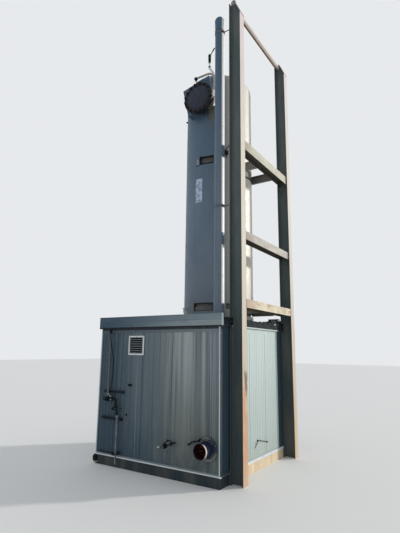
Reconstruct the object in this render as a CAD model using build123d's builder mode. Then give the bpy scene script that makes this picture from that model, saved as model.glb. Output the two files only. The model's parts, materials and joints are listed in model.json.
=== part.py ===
"""Gas sweetening skid: a contactor tower and its vent stack rise out of a small
insulated steel building on a skid, beside a tall upright frame that is the
package's second skid when it lies down for transport. The frame stands right
against the building's right wall.

X runs along the front wall to the right, Y towards the back and Z up. The
origin is the centre of the building's skid, on the ground. Millimetres.
"""

import os
from math import cos, radians, sin, sqrt

from build123d import *

os.makedirs("parts", exist_ok=True)

# Driving sizes of the building and its skid
house_length = 2440
house_depth = 2440
skid_height = 150
skid_flange = 50
skid_web = 8
skid_flange_thickness = 9
cross_beam_count = 3
cross_beam_spacing = 600
floor_thickness = 8
eave_height = 2250
wall_core = 55
rib_height = 5
rib_pitch = 66
rib_base = 30
rib_crest = 16
corner_trim_width = 30
corner_trim_thickness = 3
flashing_height = 34
flashing_thickness = 4
drip_width = 10
eave_trim_height = 42
eave_trim_thickness = 4
eave_trim_drop = 52
tow_pipe_radius = 70.5
tow_pipe_wall = 7
tow_pipe_proud = 65

# Driving sizes of the roof
roof_thickness = 90
roof_fall = 20
roof_overhang = 30
post_notch_gap = 6
roof_seam_height = 24
roof_seam_width = 14
roof_seam_pitch = 420
fascia_height = 200
fascia_drop = 22
fascia_thickness = 50
fascia_proud = 25
fascia_overhang = 42

# Driving sizes of the upright frame
frame_gap = 12
frame_setback = 260
post_spacing = 2004
post_depth = 216
post_width = 150
post_flange_thickness = 10
post_web_thickness = 8
post_height = 7968
post_top_flat = 99
post_bevel_drop = 262
nose_plate_thickness = 12
section_fillet = 9
tie_beam_depth = 160
upper_beam_height = 5280
upper_beam_width = 159
middle_beam_height = 3711
middle_beam_width = 138
lower_beam_rise = 262
lower_beam_width = 133
tie_flange_thickness = 9
tie_web_thickness = 7
top_tube_width = 86
top_tube_height = 67
top_tube_wall = 6

# Driving sizes of the tower
tower_inset = 973
tower_back_margin = 852
shell_radius = 613
shell_thickness = 16
jacket_thickness = 50
tower_tangent_low = 760
tower_tangent_high = 7131
head_knuckle = 0.17275
head_crown = 0.9045
skirt_thickness = 12
base_ring_width = 90
base_ring_thickness = 20
jacket_bottom = 2120
support_ring_height = 105
support_ring_thickness = 31
seat_gap = 0.3
arm_offset = 336
arm_height = 157
arm_flange = 52
arm_thickness = 8
ring_window_height = 209
arm_window_angle = 48
front_window_height = 146
front_window_width = 393
front_window_turn = 5
upper_window_rise = 188
lower_window_rise = 44

# Driving sizes of the manway
manway_height = 6729
manway_reach = 837
manway_neck_radius = 212
manway_neck_wall = 16
manway_flange_radius = 312
manway_flange_thickness = 40
manway_face_radius = 246
manway_face_step = 3
manway_box_side = 628
manway_box_wall = 6
manway_box_tilt = 12.5
manway_box_shift = -31
manway_box_rise = 77
manway_box_gap = 4
davit_offset = 369
davit_radius = 20
davit_bend = 157
davit_rise = 434
davit_drop = 104
davit_reach = 76
davit_socket_height = 130
davit_socket_wall = 12
davit_bracket_thickness = 12
davit_bracket_drop = 250
davit_bracket_width = 28

# Driving sizes of the small vent on the top head
head_vent_x = 137
head_vent_y = -450
head_vent_radius = 23
head_vent_rise = 60
head_vent_lean_x = -104
head_vent_kink = 469
head_vent_bend = 90
head_riser_radius = 15
head_riser_length = 142
head_valve_radius = 25
head_valve_length = 171
head_valve_end = 22
head_lever_radius = 9
head_lever_length = 200
head_lever_drop = 50
head_lever_angle = 36.5

# Driving sizes of the vent stack
stack_inset = 198
stack_setback = 300
stack_radius = 84
stack_wall = 7
stack_top = 7503
stack_cap_radius = 93
stack_cap_height = 305
stack_rim_height = 8
stack_band_thickness = 6
stack_band_height = 46
stack_stay_radius = 8
stack_stay_levels = (4205, 7470)

# Driving sizes of the fittings on the front and right walls
louvre_inset = 822
louvre_drop = 145
louvre_width = 334
louvre_height = 315
louvre_frame = 28
louvre_depth = 70
louvre_proud = 12
slat_count = 7
slat_thickness = 4
slat_angle = 40
outlet_inset = 210
outlet_z = 500
outlet_radius = 109.5
outlet_wall = 8
outlet_reach = 200
outlet_inside = 110
collar_radius = 175
collar_thickness = 6
drain_inset = 790
drain_z = 512
drain_radius = 17
drain_reach = 385
drain_inside = 100
drain_valve_at = 205
drain_valve_radius = 36
drain_valve_length = 62
strut_size = 41
strut_wall = 4
upper_strut_z = 1180
upper_strut_inset = 376
upper_strut_length = 436
lower_strut_z = 752
lower_strut_inset = 350
lower_strut_length = 464
conduit_inset = 275
conduit_radius = 17
conduit_bottom = 1105
regulator_inset = 300
regulator_z = 1062
regulator_length = 220
tubing_inset = 505
tubing_radius = 12
tubing_bottom = 60

# Sizes that follow from the driving ones
half_length = house_length / 2
half_depth = house_depth / 2
wall_thickness = wall_core + rib_height
wall_bottom = skid_height + floor_thickness
wall_height = eave_height - wall_bottom
roof_top = eave_height + roof_thickness
lower_beam_height = roof_top + lower_beam_rise
tow_pipe_x = tow_pipe_radius - tow_pipe_proud - half_length
tow_pipe_z = skid_height - tow_pipe_radius
tower_x = half_length - tower_inset
tower_y = half_depth - tower_back_margin
stack_x = half_length - stack_inset
stack_y = stack_setback - half_depth
outlet_x = half_length - outlet_inset
drain_x = half_length - drain_inset
louvre_x = louvre_inset - half_length
louvre_bottom = eave_height - louvre_drop - louvre_height
upper_strut_x = upper_strut_inset - half_length
lower_strut_x = lower_strut_inset - half_length
conduit_x = conduit_inset - half_length
regulator_x = regulator_inset - half_length
tubing_x = tubing_inset - half_length
post_inner = half_length + frame_gap
post_outer = post_inner + post_depth
post_centre = post_inner + post_depth / 2
front_row = frame_setback - half_depth + post_width / 2
rear_row = front_row + post_spacing
post_rows = (front_row, rear_row)
frame_middle = (front_row + rear_row) / 2
jacket_radius = shell_radius + jacket_thickness
support_ring_radius = shell_radius + seat_gap + support_ring_thickness
head_height = jacket_radius / 2
shell_inner = shell_radius - shell_thickness
manway_front = tower_y - manway_reach
manway_flange_back = manway_front + 2 * manway_flange_thickness + manway_face_step
front_face = -half_depth


def save(part, name):
    """Label a finished piece and write it to its own file."""
    part.label = name
    export_step(part, f"parts/{name}.step")


def dome_points(radius):
    """Where a two-to-one dish's knuckle meets its crown, and its top, in its half section."""
    knuckle = head_knuckle * 2 * radius
    crown = head_crown * 2 * radius
    centre = -sqrt((crown - knuckle) ** 2 - (radius - knuckle) ** 2)
    share = crown / (crown - knuckle)
    return (share * (radius - knuckle), centre * (1 - share)), (0, crown + centre)


def domed_end(outer, inner=0):
    """Dished end of a tower, hollow if it has an inner radius, its rim on the XY plane."""
    outer_touch, outer_top = dome_points(outer)
    with BuildPart() as end:
        with BuildSketch(Plane.XZ):
            with BuildLine():
                outer_knuckle = TangentArc((outer, 0), outer_touch, tangent=(0, 1))
                TangentArc(outer_touch, outer_top, tangent=outer_knuckle % 1)
                if inner:
                    inner_touch, inner_top = dome_points(inner)
                    inner_knuckle = TangentArc((inner, 0), inner_touch, tangent=(0, 1))
                    TangentArc(inner_touch, inner_top, tangent=inner_knuckle % 1)
                    Line(outer_top, inner_top)
                    Line((inner, 0), (outer, 0))
                else:
                    Polyline(outer_top, (0, 0), (outer, 0))
            make_face()
        revolve(axis=Axis.Z)
    return end.part


def wide_flange(depth, width, flange, web):
    """Sketch of an I section, its depth along the sketch's X, with rolled fillets."""
    with BuildSketch(mode=Mode.PRIVATE) as section:
        Rectangle(web_span := depth - 2 * flange, web)
        with Locations((web_span / 2 + flange / 2, 0), (-web_span / 2 - flange / 2, 0)):
            Rectangle(flange, width)
        roots = [
            v for v in section.vertices()
            if abs(abs(v.X) - web_span / 2) < 0.01 and abs(abs(v.Y) - web / 2) < 0.01
        ]
        fillet(roots, section_fillet)
    return section.sketch


def channel(height, flange, flange_thickness, web):
    """Sketch of a channel: web on the sketch's Y axis, toes towards +X."""
    with BuildSketch(mode=Mode.PRIVATE) as section:
        with BuildLine():
            Polyline(
                (0, -height / 2), (flange, -height / 2), (flange, -height / 2 + flange_thickness),
                (web, -height / 2 + flange_thickness), (web, height / 2 - flange_thickness),
                (flange, height / 2 - flange_thickness), (flange, height / 2), (0, height / 2),
                close=True,
            )
        make_face()
    return section.sketch


def ribbed_panel(length, core, first_rib):
    """Plan sketch of an insulated panel: core inwards, ribbed skin out at the sketch's -Y."""
    count = int((length / 2 - first_rib) * 2 // rib_pitch) + 1
    start = -(count - 1) * rib_pitch / 2
    skin = core / 2
    points = [(-length / 2, skin), (-length / 2, -skin)]
    for number in range(count):
        middle = start + number * rib_pitch
        points += [
            (middle - rib_base / 2, -skin), (middle - rib_crest / 2, -skin - rib_height),
            (middle + rib_crest / 2, -skin - rib_height), (middle + rib_base / 2, -skin),
        ]
    points += [(length / 2, -skin), (length / 2, skin)]
    with BuildSketch(mode=Mode.PRIVATE) as section:
        with BuildLine():
            Polyline(*points, close=True)
        make_face()
    return section.sketch


# Skid: three channels, toes inwards, mitred at the right corners and coped round the
# open pipe that is the left end, which a winch line pulls on
with BuildPart() as tow_pipe:
    with BuildSketch(Plane.XZ.offset(-half_depth)):
        with Locations((tow_pipe_x, tow_pipe_z)):
            Circle(tow_pipe_radius)
            Circle(tow_pipe_radius - tow_pipe_wall, mode=Mode.SUBTRACT)
    extrude(amount=house_depth)
save(tow_pipe.part, "tow_pipe")

skid_section = channel(skid_height, skid_flange, skid_flange_thickness, skid_web)
for name, turn, span, reach in (
    ("skid_front_beam", 0, house_length, half_depth),
    ("skid_right_beam", 90, house_depth, half_length),
    ("skid_back_beam", 180, house_length, half_depth),
):
    side = Plane.XY.rotated((0, 0, turn))
    section_plane = Plane(
        origin=side.from_local_coords((-span / 2, -reach, skid_height / 2)),
        x_dir=side.y_dir, z_dir=side.x_dir,
    )
    with BuildPart() as skid_beam:
        with BuildSketch(section_plane):
            add(skid_section)
        extrude(amount=span)
        with BuildSketch(side):
            with BuildLine():
                Polyline(
                    (-span / 2, -reach), (span / 2, -reach),
                    (span / 2 - skid_flange, -reach + skid_flange),
                    (-span / 2 + skid_flange, -reach + skid_flange), close=True,
                )
            make_face()
        extrude(amount=skid_height, mode=Mode.INTERSECT)
        with BuildSketch(Plane.XZ.offset(-half_depth - 1)):
            with Locations((tow_pipe_x, tow_pipe_z)):
                Circle(tow_pipe_radius + seat_gap)
                Rectangle(half_length, 2 * skid_height, align=(Align.MAX, Align.CENTER))
        extrude(amount=house_depth + 2, mode=Mode.SUBTRACT)
    save(skid_beam.part, name)

cross_span = half_depth - skid_flange
cross_section = wide_flange(skid_height, 100, tie_flange_thickness, tie_web_thickness)
with BuildPart() as skid_cross_beams:
    with BuildSketch(Plane.XZ.offset(-cross_span)):
        with Locations((0, skid_height / 2)):
            with GridLocations(cross_beam_spacing, 0, cross_beam_count, 1):
                add(cross_section, rotation=90)
    extrude(amount=2 * cross_span)
save(skid_cross_beams.part, "skid_cross_beams")

with BuildPart() as floor_plate:
    with BuildSketch(Plane.XY.offset(skid_height)):
        Rectangle(house_length, house_depth)
    extrude(amount=floor_thickness)
save(floor_plate.part, "floor_plate")

# Spacer plates between the skid and the feet of the upright frame
with BuildPart() as skid_spacers:
    for row in post_rows:
        with BuildSketch(Plane.YZ.offset(half_length)):
            with Locations((row, skid_height / 2)):
                Rectangle(post_width, skid_height)
        extrude(amount=frame_gap)
save(skid_spacers.part, "skid_spacers")

# Walls: ribbed insulated panels on the floor plate
side_length = house_depth - 2 * wall_thickness
long_panel = ribbed_panel(house_length, wall_core, rib_base)
side_panel = ribbed_panel(side_length, wall_core, rib_base)
with BuildPart() as front_wall:
    with BuildSketch(Plane(origin=(0, front_face + rib_height + wall_core / 2, wall_bottom))):
        add(long_panel)
    extrude(amount=wall_height)
    with BuildSketch(Plane.XZ.offset(half_depth + 1)):
        with Locations((louvre_x, louvre_bottom + louvre_height / 2)):
            Rectangle(louvre_width - 2 * louvre_frame + 20, louvre_height - 2 * louvre_frame + 20)
        with Locations((outlet_x, outlet_z)):
            Circle(outlet_radius + 6)
        with Locations((drain_x, drain_z)):
            Circle(drain_radius + seat_gap)
    extrude(amount=-wall_thickness - 2, mode=Mode.SUBTRACT)
save(front_wall.part, "front_wall")

with BuildPart() as back_wall:
    with BuildSketch(
        Plane(origin=(0, half_depth - rib_height - wall_core / 2, wall_bottom), x_dir=(-1, 0, 0))
    ):
        add(long_panel)
    extrude(amount=wall_height)
save(back_wall.part, "back_wall")

for name, sign in (("left_wall", -1), ("right_wall", 1)):
    panel_plane = Plane(
        origin=(sign * (half_length - rib_height - wall_core / 2), 0, wall_bottom),
        x_dir=(0, sign, 0),
    )
    with BuildPart() as side_wall:
        with BuildSketch(panel_plane):
            add(side_panel)
        extrude(amount=wall_height)
    save(side_wall.part, name)

# Folded trims on the four corners
with BuildPart() as corner_trims:
    with BuildSketch(Plane.XY.offset(wall_bottom + flashing_height)):
        for x_sign in (-1, 1):
            for y_sign in (-1, 1):
                corner = (x_sign * half_length, y_sign * half_depth)
                with BuildLine():
                    Polyline(
                        corner,
                        (corner[0] - x_sign * corner_trim_width, corner[1]),
                        (corner[0] - x_sign * corner_trim_width, corner[1] + y_sign * corner_trim_thickness),
                        (
                            corner[0] + x_sign * corner_trim_thickness,
                            corner[1] + y_sign * corner_trim_thickness,
                        ),
                        (corner[0] + x_sign * corner_trim_thickness, corner[1] - y_sign * corner_trim_width),
                        (corner[0], corner[1] - y_sign * corner_trim_width),
                        close=True,
                    )
                make_face()
    extrude(amount=wall_height - flashing_height - fascia_drop)
save(corner_trims.part, "corner_trims")

# Base flashing: a drip strip that covers the foot of the walls and the edge of the floor
with BuildPart() as base_flashing:
    with BuildSketch(Plane.XY.offset(wall_bottom)):
        Rectangle(house_length + 2 * flashing_thickness, house_depth + 2 * flashing_thickness)
        Rectangle(house_length, house_depth, mode=Mode.SUBTRACT)
    extrude(amount=flashing_height)
    with BuildSketch(Plane.XY.offset(skid_height)):
        Rectangle(house_length + 2 * drip_width, house_depth + 2 * drip_width)
        Rectangle(house_length, house_depth, mode=Mode.SUBTRACT)
    extrude(amount=floor_thickness)
save(base_flashing.part, "base_flashing")

# Pale trim along the top of the front wall, in the shadow of the fascia
with BuildPart() as eave_trim:
    with BuildSketch(Plane.XZ.offset(half_depth)):
        with Locations((0, eave_height - eave_trim_drop - eave_trim_height / 2)):
            Rectangle(house_length - 2 * corner_trim_width - 2, eave_trim_height)
    extrude(amount=eave_trim_thickness)
save(eave_trim.part, "eave_trim")

# Roof: one sloping panel with standing seams, behind a boxed fascia on the front and
# notched where the posts stand
roof_front = front_face - fascia_proud + fascia_thickness
roof_back = half_depth + roof_overhang
roof_half_length = half_length + roof_overhang
with BuildPart() as roof_panel:
    with BuildSketch(Plane.YZ.offset(-roof_half_length)):
        with BuildLine():
            Polyline(
                (roof_front, eave_height), (roof_back, eave_height),
                (roof_back, roof_top - roof_fall), (roof_front, roof_top), close=True,
            )
        make_face()
    extrude(amount=2 * roof_half_length)
    for number in range(-2, 3):
        seam_x = number * roof_seam_pitch
        with BuildSketch(Plane.YZ.offset(seam_x - roof_seam_width / 2)):
            with BuildLine():
                Polyline(
                    (roof_front, roof_top - 1), (roof_back, roof_top - roof_fall - 1),
                    (roof_back, roof_top - roof_fall + roof_seam_height),
                    (roof_front, roof_top + roof_seam_height), close=True,
                )
            make_face()
        extrude(amount=roof_seam_width)
    with BuildSketch(Plane.XY.offset(eave_height - 1)):
        with Locations((tower_x, tower_y)):
            Circle(jacket_radius + 12)
        with Locations((stack_x, stack_y)):
            Circle(stack_radius + 8)
        with Locations((post_centre, frame_middle)):
            with GridLocations(0, post_spacing, 1, 2):
                Rectangle(post_depth + 2 * post_notch_gap, post_width + 2 * post_notch_gap)
    extrude(amount=roof_thickness + roof_seam_height + 2, mode=Mode.SUBTRACT)
save(roof_panel.part, "roof_panel")

with BuildPart() as front_fascia:
    with BuildSketch(Plane.YZ.offset(-half_length - fascia_overhang)):
        with BuildLine():
            Polyline(
                (front_face - fascia_proud, eave_height - fascia_drop),
                (front_face - 2, eave_height - fascia_drop),
                (front_face - 2, eave_height),
                (roof_front, eave_height),
                (roof_front, eave_height - fascia_drop + fascia_height),
                (front_face - fascia_proud, eave_height - fascia_drop + fascia_height),
                close=True,
            )
        make_face()
    extrude(amount=house_length + 2 * fascia_overhang)
save(front_fascia.part, "front_fascia")

# Storm collars where the tower and the stack come through the roof
collar_low = roof_top - roof_fall - 10
collar_high = roof_top + roof_seam_height + 4
for name, centre, radius, flange, rise in (
    ("tower_collar", (tower_x, tower_y), jacket_radius, 60, 50),
    ("stack_collar", (stack_x, stack_y), stack_radius, 48, 80),
):
    with BuildPart() as collar:
        with BuildSketch(Plane.XZ):
            with BuildLine():
                Polyline(
                    (radius + seat_gap, collar_low), (radius + flange, collar_low),
                    (radius + flange, collar_high), (radius + 14, collar_high + 6),
                    (radius + 5, collar_high + rise), (radius + seat_gap, collar_high + rise), close=True,
                )
            make_face()
        revolve(axis=Axis.Z)
    with BuildPart() as storm_collar:
        add(collar.part.moved(Location((*centre, 0))))
        add(roof_panel.part, mode=Mode.SUBTRACT)
    save(storm_collar.part, name)

# Upright frame: two wide-flange posts with bevelled noses, tied by beams
post_section = wide_flange(post_depth, post_width, post_flange_thickness, post_web_thickness)
bevel_start = post_inner + post_top_flat
posts = []
for name, row in (("front_post", front_row), ("rear_post", rear_row)):
    with BuildPart() as post:
        with BuildSketch():
            with Locations((post_centre, row)):
                add(post_section)
        extrude(amount=post_height)
        with BuildSketch(Plane.XZ.offset(-row - post_width)):
            with BuildLine():
                Polyline(
                    (bevel_start, post_height), (post_outer, post_height - post_bevel_drop),
                    (post_outer + 1, post_height - post_bevel_drop), (post_outer + 1, post_height + 1),
                    (bevel_start, post_height + 1), close=True,
                )
            make_face()
        extrude(amount=2 * post_width, mode=Mode.SUBTRACT)
    posts.append(post.part)
    save(post.part, name)

bevel_length = sqrt((post_outer - bevel_start) ** 2 + post_bevel_drop ** 2)
bevel_out = Vector(post_bevel_drop, 0, post_outer - bevel_start).normalized()
bevel_down = Vector(post_outer - bevel_start, 0, -post_bevel_drop).normalized()
bevel_middle = Vector((bevel_start + post_outer) / 2, 0, post_height - post_bevel_drop / 2)
with BuildPart() as nose_plates:
    for row in post_rows:
        with BuildSketch(Plane(origin=bevel_middle + Vector(0, row, 0), x_dir=bevel_down, z_dir=bevel_out)):
            Rectangle(bevel_length, post_width)
        extrude(amount=nose_plate_thickness)
save(nose_plates.part, "nose_plates")

tie_start = front_row + post_web_thickness / 2
tie_length = post_spacing - post_web_thickness
for name, level, width in (
    ("upper_beam", upper_beam_height, upper_beam_width),
    ("middle_beam", middle_beam_height, middle_beam_width),
):
    tie_section = wide_flange(tie_beam_depth, width, tie_flange_thickness, tie_web_thickness)
    with BuildPart() as tie_beam:
        with BuildSketch(Plane.XZ.offset(-tie_start)):
            with Locations((post_centre, level)):
                add(tie_section)
        extrude(amount=-tie_length)
    save(tie_beam.part, name)

lower_section = wide_flange(post_depth, lower_beam_width, post_flange_thickness, post_web_thickness)
with BuildPart() as lower_beam:
    with BuildSketch(Plane.XZ.offset(-front_row - post_width / 2)):
        with Locations((post_centre, lower_beam_height)):
            add(lower_section)
    extrude(amount=post_width - post_spacing)
save(lower_beam.part, "lower_beam")

with BuildPart() as top_beam:
    with BuildSketch(Plane.XZ.offset(-tie_start)):
        with Locations(
            (post_inner + post_flange_thickness + 2 + top_tube_width / 2, post_height - top_tube_height / 2)
        ):
            RectangleRounded(top_tube_width, top_tube_height, 2 * top_tube_wall)
            RectangleRounded(
                top_tube_width - 2 * top_tube_wall, top_tube_height - 2 * top_tube_wall, top_tube_wall,
                mode=Mode.SUBTRACT,
            )
    extrude(amount=-tie_length)
    add(posts, mode=Mode.SUBTRACT)
save(top_beam.part, "top_beam")

# Tower: a skirt, dished ends and a steel shell under an insulated jacket
tower_place = Location((tower_x, tower_y, 0))
manway_axis = Plane(origin=(0, 0, manway_height), x_dir=(1, 0, 0), z_dir=(0, -1, 0))

with BuildPart() as tower_shell:
    with BuildSketch(Plane.XY.offset(tower_tangent_low)):
        Circle(shell_radius)
        Circle(shell_inner, mode=Mode.SUBTRACT)
    extrude(amount=tower_tangent_high - tower_tangent_low)
    with BuildSketch(manway_axis):
        Circle(manway_neck_radius + seat_gap)
    extrude(amount=jacket_radius, mode=Mode.SUBTRACT)
save(tower_shell.part.moved(tower_place), "tower_shell")

window_levels = (
    (upper_beam_height, upper_window_rise),
    (lower_beam_height, lower_window_rise),
)
with BuildPart() as tower_jacket:
    with BuildSketch(Plane.XZ):
        with BuildLine():
            profile = [(shell_radius + seat_gap, jacket_bottom)]
            for level, rise in reversed(window_levels):
                groove = support_ring_height / 2 + 2
                for edge, radius in (
                    (-groove, shell_radius + seat_gap), (-groove, support_ring_radius + seat_gap),
                    (groove, support_ring_radius + seat_gap), (groove, shell_radius + seat_gap),
                ):
                    profile.append((radius, level + edge))
            profile += [
                (shell_radius + seat_gap, tower_tangent_high), (jacket_radius, tower_tangent_high),
                (jacket_radius, jacket_bottom),
            ]
            Polyline(*profile, close=True)
        make_face()
    revolve(axis=Axis.Z)
    with BuildSketch(manway_axis):
        Circle(manway_neck_radius + 2)
    extrude(amount=jacket_radius, mode=Mode.SUBTRACT)
    for level, rise in window_levels:
        with BuildSketch(Plane.XY.offset(level - ring_window_height / 2)):
            with BuildLine():
                reach = 2 * jacket_radius
                half = radians(arm_window_angle)
                Polyline((0, 0), (reach * cos(half), -reach * sin(half)), (reach * cos(half), reach * sin(half)),
                         close=True)
            make_face()
            Circle(shell_radius + seat_gap, mode=Mode.SUBTRACT)
        extrude(amount=ring_window_height, mode=Mode.SUBTRACT)
        window_out = Plane(
            origin=(0, 0, level + rise),
            x_dir=(cos(radians(front_window_turn)), sin(radians(front_window_turn)), 0),
            z_dir=(sin(radians(front_window_turn)), -cos(radians(front_window_turn)), 0),
        )
        with BuildSketch(window_out.offset(shell_radius / 2)):
            Rectangle(front_window_width, front_window_height)
        extrude(amount=jacket_radius, mode=Mode.SUBTRACT)
save(tower_jacket.part.moved(tower_place), "tower_jacket")

top_head = domed_end(jacket_radius, shell_inner)
save(top_head.moved(Location((tower_x, tower_y, tower_tangent_high))), "top_head")

bottom_head = domed_end(shell_radius, shell_inner)
save(bottom_head.moved(Location((tower_x, tower_y, tower_tangent_low), (180, 0, 0))), "bottom_head")

skirt_inner = shell_radius + seat_gap
with BuildPart() as tower_skirt:
    with BuildSketch(Plane.XY.offset(wall_bottom)):
        Circle(skirt_inner + skirt_thickness)
        Circle(skirt_inner, mode=Mode.SUBTRACT)
    extrude(amount=tower_tangent_low + 60 - wall_bottom)
    with BuildSketch(Plane.XY.offset(wall_bottom)):
        Circle(skirt_inner + skirt_thickness + base_ring_width / 2)
        Circle(skirt_inner + skirt_thickness - base_ring_width / 2, mode=Mode.SUBTRACT)
    extrude(amount=base_ring_thickness)
save(tower_skirt.part.moved(tower_place), "tower_skirt")

# Support rings on the bare shell, and pairs of channel arms from them to the frame
arm_section = channel(arm_height, arm_flange, arm_thickness, arm_thickness)
for name, level, beam_inner in (
    ("upper", upper_beam_height, post_centre - tie_beam_depth / 2),
    ("lower", lower_beam_height, post_inner),
):
    with BuildPart() as support_ring:
        with BuildSketch(Plane.XY.offset(level - support_ring_height / 2)):
            Circle(support_ring_radius)
            Circle(shell_radius + seat_gap, mode=Mode.SUBTRACT)
        extrude(amount=support_ring_height)
    save(support_ring.part.moved(tower_place), f"{name}_support_ring")

    with BuildPart() as support_arms:
        for sign in (-1, 1):
            arm_plane = Plane(
                origin=(0, sign * (arm_offset + arm_flange / 2), level), x_dir=(0, -sign, 0),
                z_dir=(1, 0, 0),
            )
            with BuildSketch(arm_plane):
                add(arm_section)
            extrude(amount=beam_inner - tower_x)
        with BuildSketch(Plane.XY.offset(level - arm_height)):
            Circle(support_ring_radius + seat_gap)
        extrude(amount=2 * arm_height, mode=Mode.SUBTRACT)
    save(support_arms.part.moved(tower_place), f"{name}_support_arms")

# Manway: neck, flange, blind cover, sheet box round the neck and the davit that lifts the cover
manway_plane = Plane(origin=(tower_x, tower_y, manway_height), x_dir=(1, 0, 0), z_dir=(0, -1, 0))
neck_start = sqrt(shell_inner ** 2 - manway_neck_radius ** 2) - 12
neck_end = tower_y - manway_flange_back
with BuildPart() as manway_neck:
    with BuildSketch(manway_plane.offset(neck_start)):
        Circle(manway_neck_radius)
        Circle(manway_neck_radius - manway_neck_wall, mode=Mode.SUBTRACT)
    extrude(amount=neck_end - neck_start)
save(manway_neck.part, "manway_neck")

with BuildPart() as manway_flange:
    with BuildSketch(manway_plane.offset(neck_end)):
        Circle(manway_flange_radius)
        Circle(manway_neck_radius - manway_neck_wall, mode=Mode.SUBTRACT)
    extrude(amount=manway_flange_thickness)
    with BuildSketch(manway_plane.offset(neck_end + manway_flange_thickness)):
        Circle(manway_face_radius)
        Circle(manway_neck_radius - manway_neck_wall, mode=Mode.SUBTRACT)
    extrude(amount=manway_face_step)
save(manway_flange.part, "manway_flange")

with BuildPart() as manway_cover:
    with BuildSketch(manway_plane.offset(manway_reach - manway_flange_thickness)):
        Circle(manway_flange_radius)
    extrude(amount=manway_flange_thickness)
    chamfer(manway_cover.edges().group_by(Axis.Y)[0], 3)
save(manway_cover.part, "manway_cover")

box_plane = Plane(
    origin=(tower_x + manway_box_shift, tower_y, manway_height + manway_box_rise),
    x_dir=(cos(radians(manway_box_tilt)), 0, sin(radians(manway_box_tilt))), z_dir=(0, -1, 0),
)
box_front = neck_end - manway_box_gap
box_back = sqrt(jacket_radius ** 2 - (manway_box_side * 0.66) ** 2) - 40
head_clearance = domed_end(jacket_radius + seat_gap)
head_clearance = head_clearance.moved(Location((tower_x, tower_y, tower_tangent_high)))
with BuildPart() as manway_box:
    with BuildSketch(box_plane.offset(box_back)):
        Rectangle(manway_box_side, manway_box_side)
    extrude(amount=box_front - box_back)
    with BuildSketch(box_plane.offset(box_back)):
        Rectangle(manway_box_side - 2 * manway_box_wall, manway_box_side - 2 * manway_box_wall)
    extrude(amount=box_front - box_back - manway_box_wall, mode=Mode.SUBTRACT)
    with BuildSketch(manway_plane.offset(box_back)):
        Circle(manway_neck_radius + 3)
    extrude(amount=box_front - box_back, mode=Mode.SUBTRACT)
    with BuildSketch(Plane(origin=(tower_x, tower_y, manway_height - manway_box_side))):
        Circle(jacket_radius + seat_gap)
    extrude(amount=tower_tangent_high - manway_height + manway_box_side, mode=Mode.SUBTRACT)
    add(head_clearance, mode=Mode.SUBTRACT)
save(manway_box.part, "manway_box")

davit_x = tower_x + davit_offset
davit_y = manway_front + manway_flange_thickness / 2
davit_top = manway_height + davit_rise
davit_foot = manway_height - davit_drop
with BuildPart() as manway_davit:
    with BuildLine():
        FilletPolyline(
            (davit_x, davit_y, davit_foot), (davit_x, davit_y, davit_top),
            (tower_x - davit_reach, davit_y, davit_top), radius=davit_bend,
        )
    with BuildSketch(Plane(origin=(davit_x, davit_y, davit_foot))):
        Circle(davit_radius)
    sweep()
save(manway_davit.part, "manway_davit")

# Davit socket: a sleeve on an arm from a bracket plate that lies on the front of the box
bracket_y = tower_y - box_front
bracket_half = davit_bracket_width / 2
sleeve_radius = davit_radius + davit_socket_wall
with BuildPart() as davit_socket:
    with BuildSketch(manway_plane.offset(box_front)):
        with BuildLine():
            Polyline(
                (davit_offset + bracket_half, -davit_drop), (davit_offset + bracket_half, 0),
                (davit_offset - bracket_half, 0), (davit_offset - 2 * bracket_half, -davit_drop),
                (davit_offset - 4 * bracket_half, -davit_bracket_drop),
                (davit_offset - 2 * bracket_half, -davit_bracket_drop), close=True,
            )
        make_face()
    extrude(amount=davit_bracket_thickness)
    with BuildSketch(Plane(origin=(davit_x, bracket_y, davit_foot))):
        Rectangle(davit_bracket_width, bracket_y - davit_y, align=(Align.CENTER, Align.MAX))
    extrude(amount=davit_bracket_thickness)
    with BuildSketch(Plane(origin=(davit_x, davit_y, davit_foot))):
        Circle(sleeve_radius)
    extrude(amount=davit_socket_height)
    with BuildSketch(Plane(origin=(davit_x, davit_y, davit_foot))):
        Circle(davit_radius + seat_gap)
    extrude(amount=davit_socket_height, mode=Mode.SUBTRACT)
save(davit_socket.part, "davit_socket")

# Small vent on the top head: a leaning pipe, a thin riser and a lever valve
vent_radius_out = sqrt(head_vent_x ** 2 + head_vent_y ** 2)
vent_seat = tower_tangent_high + head_height * sqrt(1 - (vent_radius_out / jacket_radius) ** 2)
vent_at = Vector(tower_x + head_vent_x, tower_y + head_vent_y, 0)
vent_low = vent_at + Vector(0, 0, vent_seat - 40)
vent_elbow = vent_at + Vector(0, 0, vent_seat + head_vent_rise)
vent_kink = vent_at + Vector(head_vent_lean_x, 0, tower_tangent_high + head_vent_kink)
vent_top = vent_kink + Vector(0, 0, head_riser_length)
with BuildPart() as head_vent:
    with BuildLine():
        FilletPolyline(vent_low, vent_elbow, vent_kink, radius=head_vent_bend)
    with BuildSketch(Plane(origin=vent_low)):
        Circle(head_vent_radius)
    sweep()
    with Locations(vent_kink):
        Sphere(head_vent_radius)
    with BuildSketch(Plane(origin=vent_kink)):
        Circle(head_riser_radius)
    extrude(amount=head_riser_length)
    add(head_clearance, mode=Mode.SUBTRACT)
save(head_vent.part, "head_vent")

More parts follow.
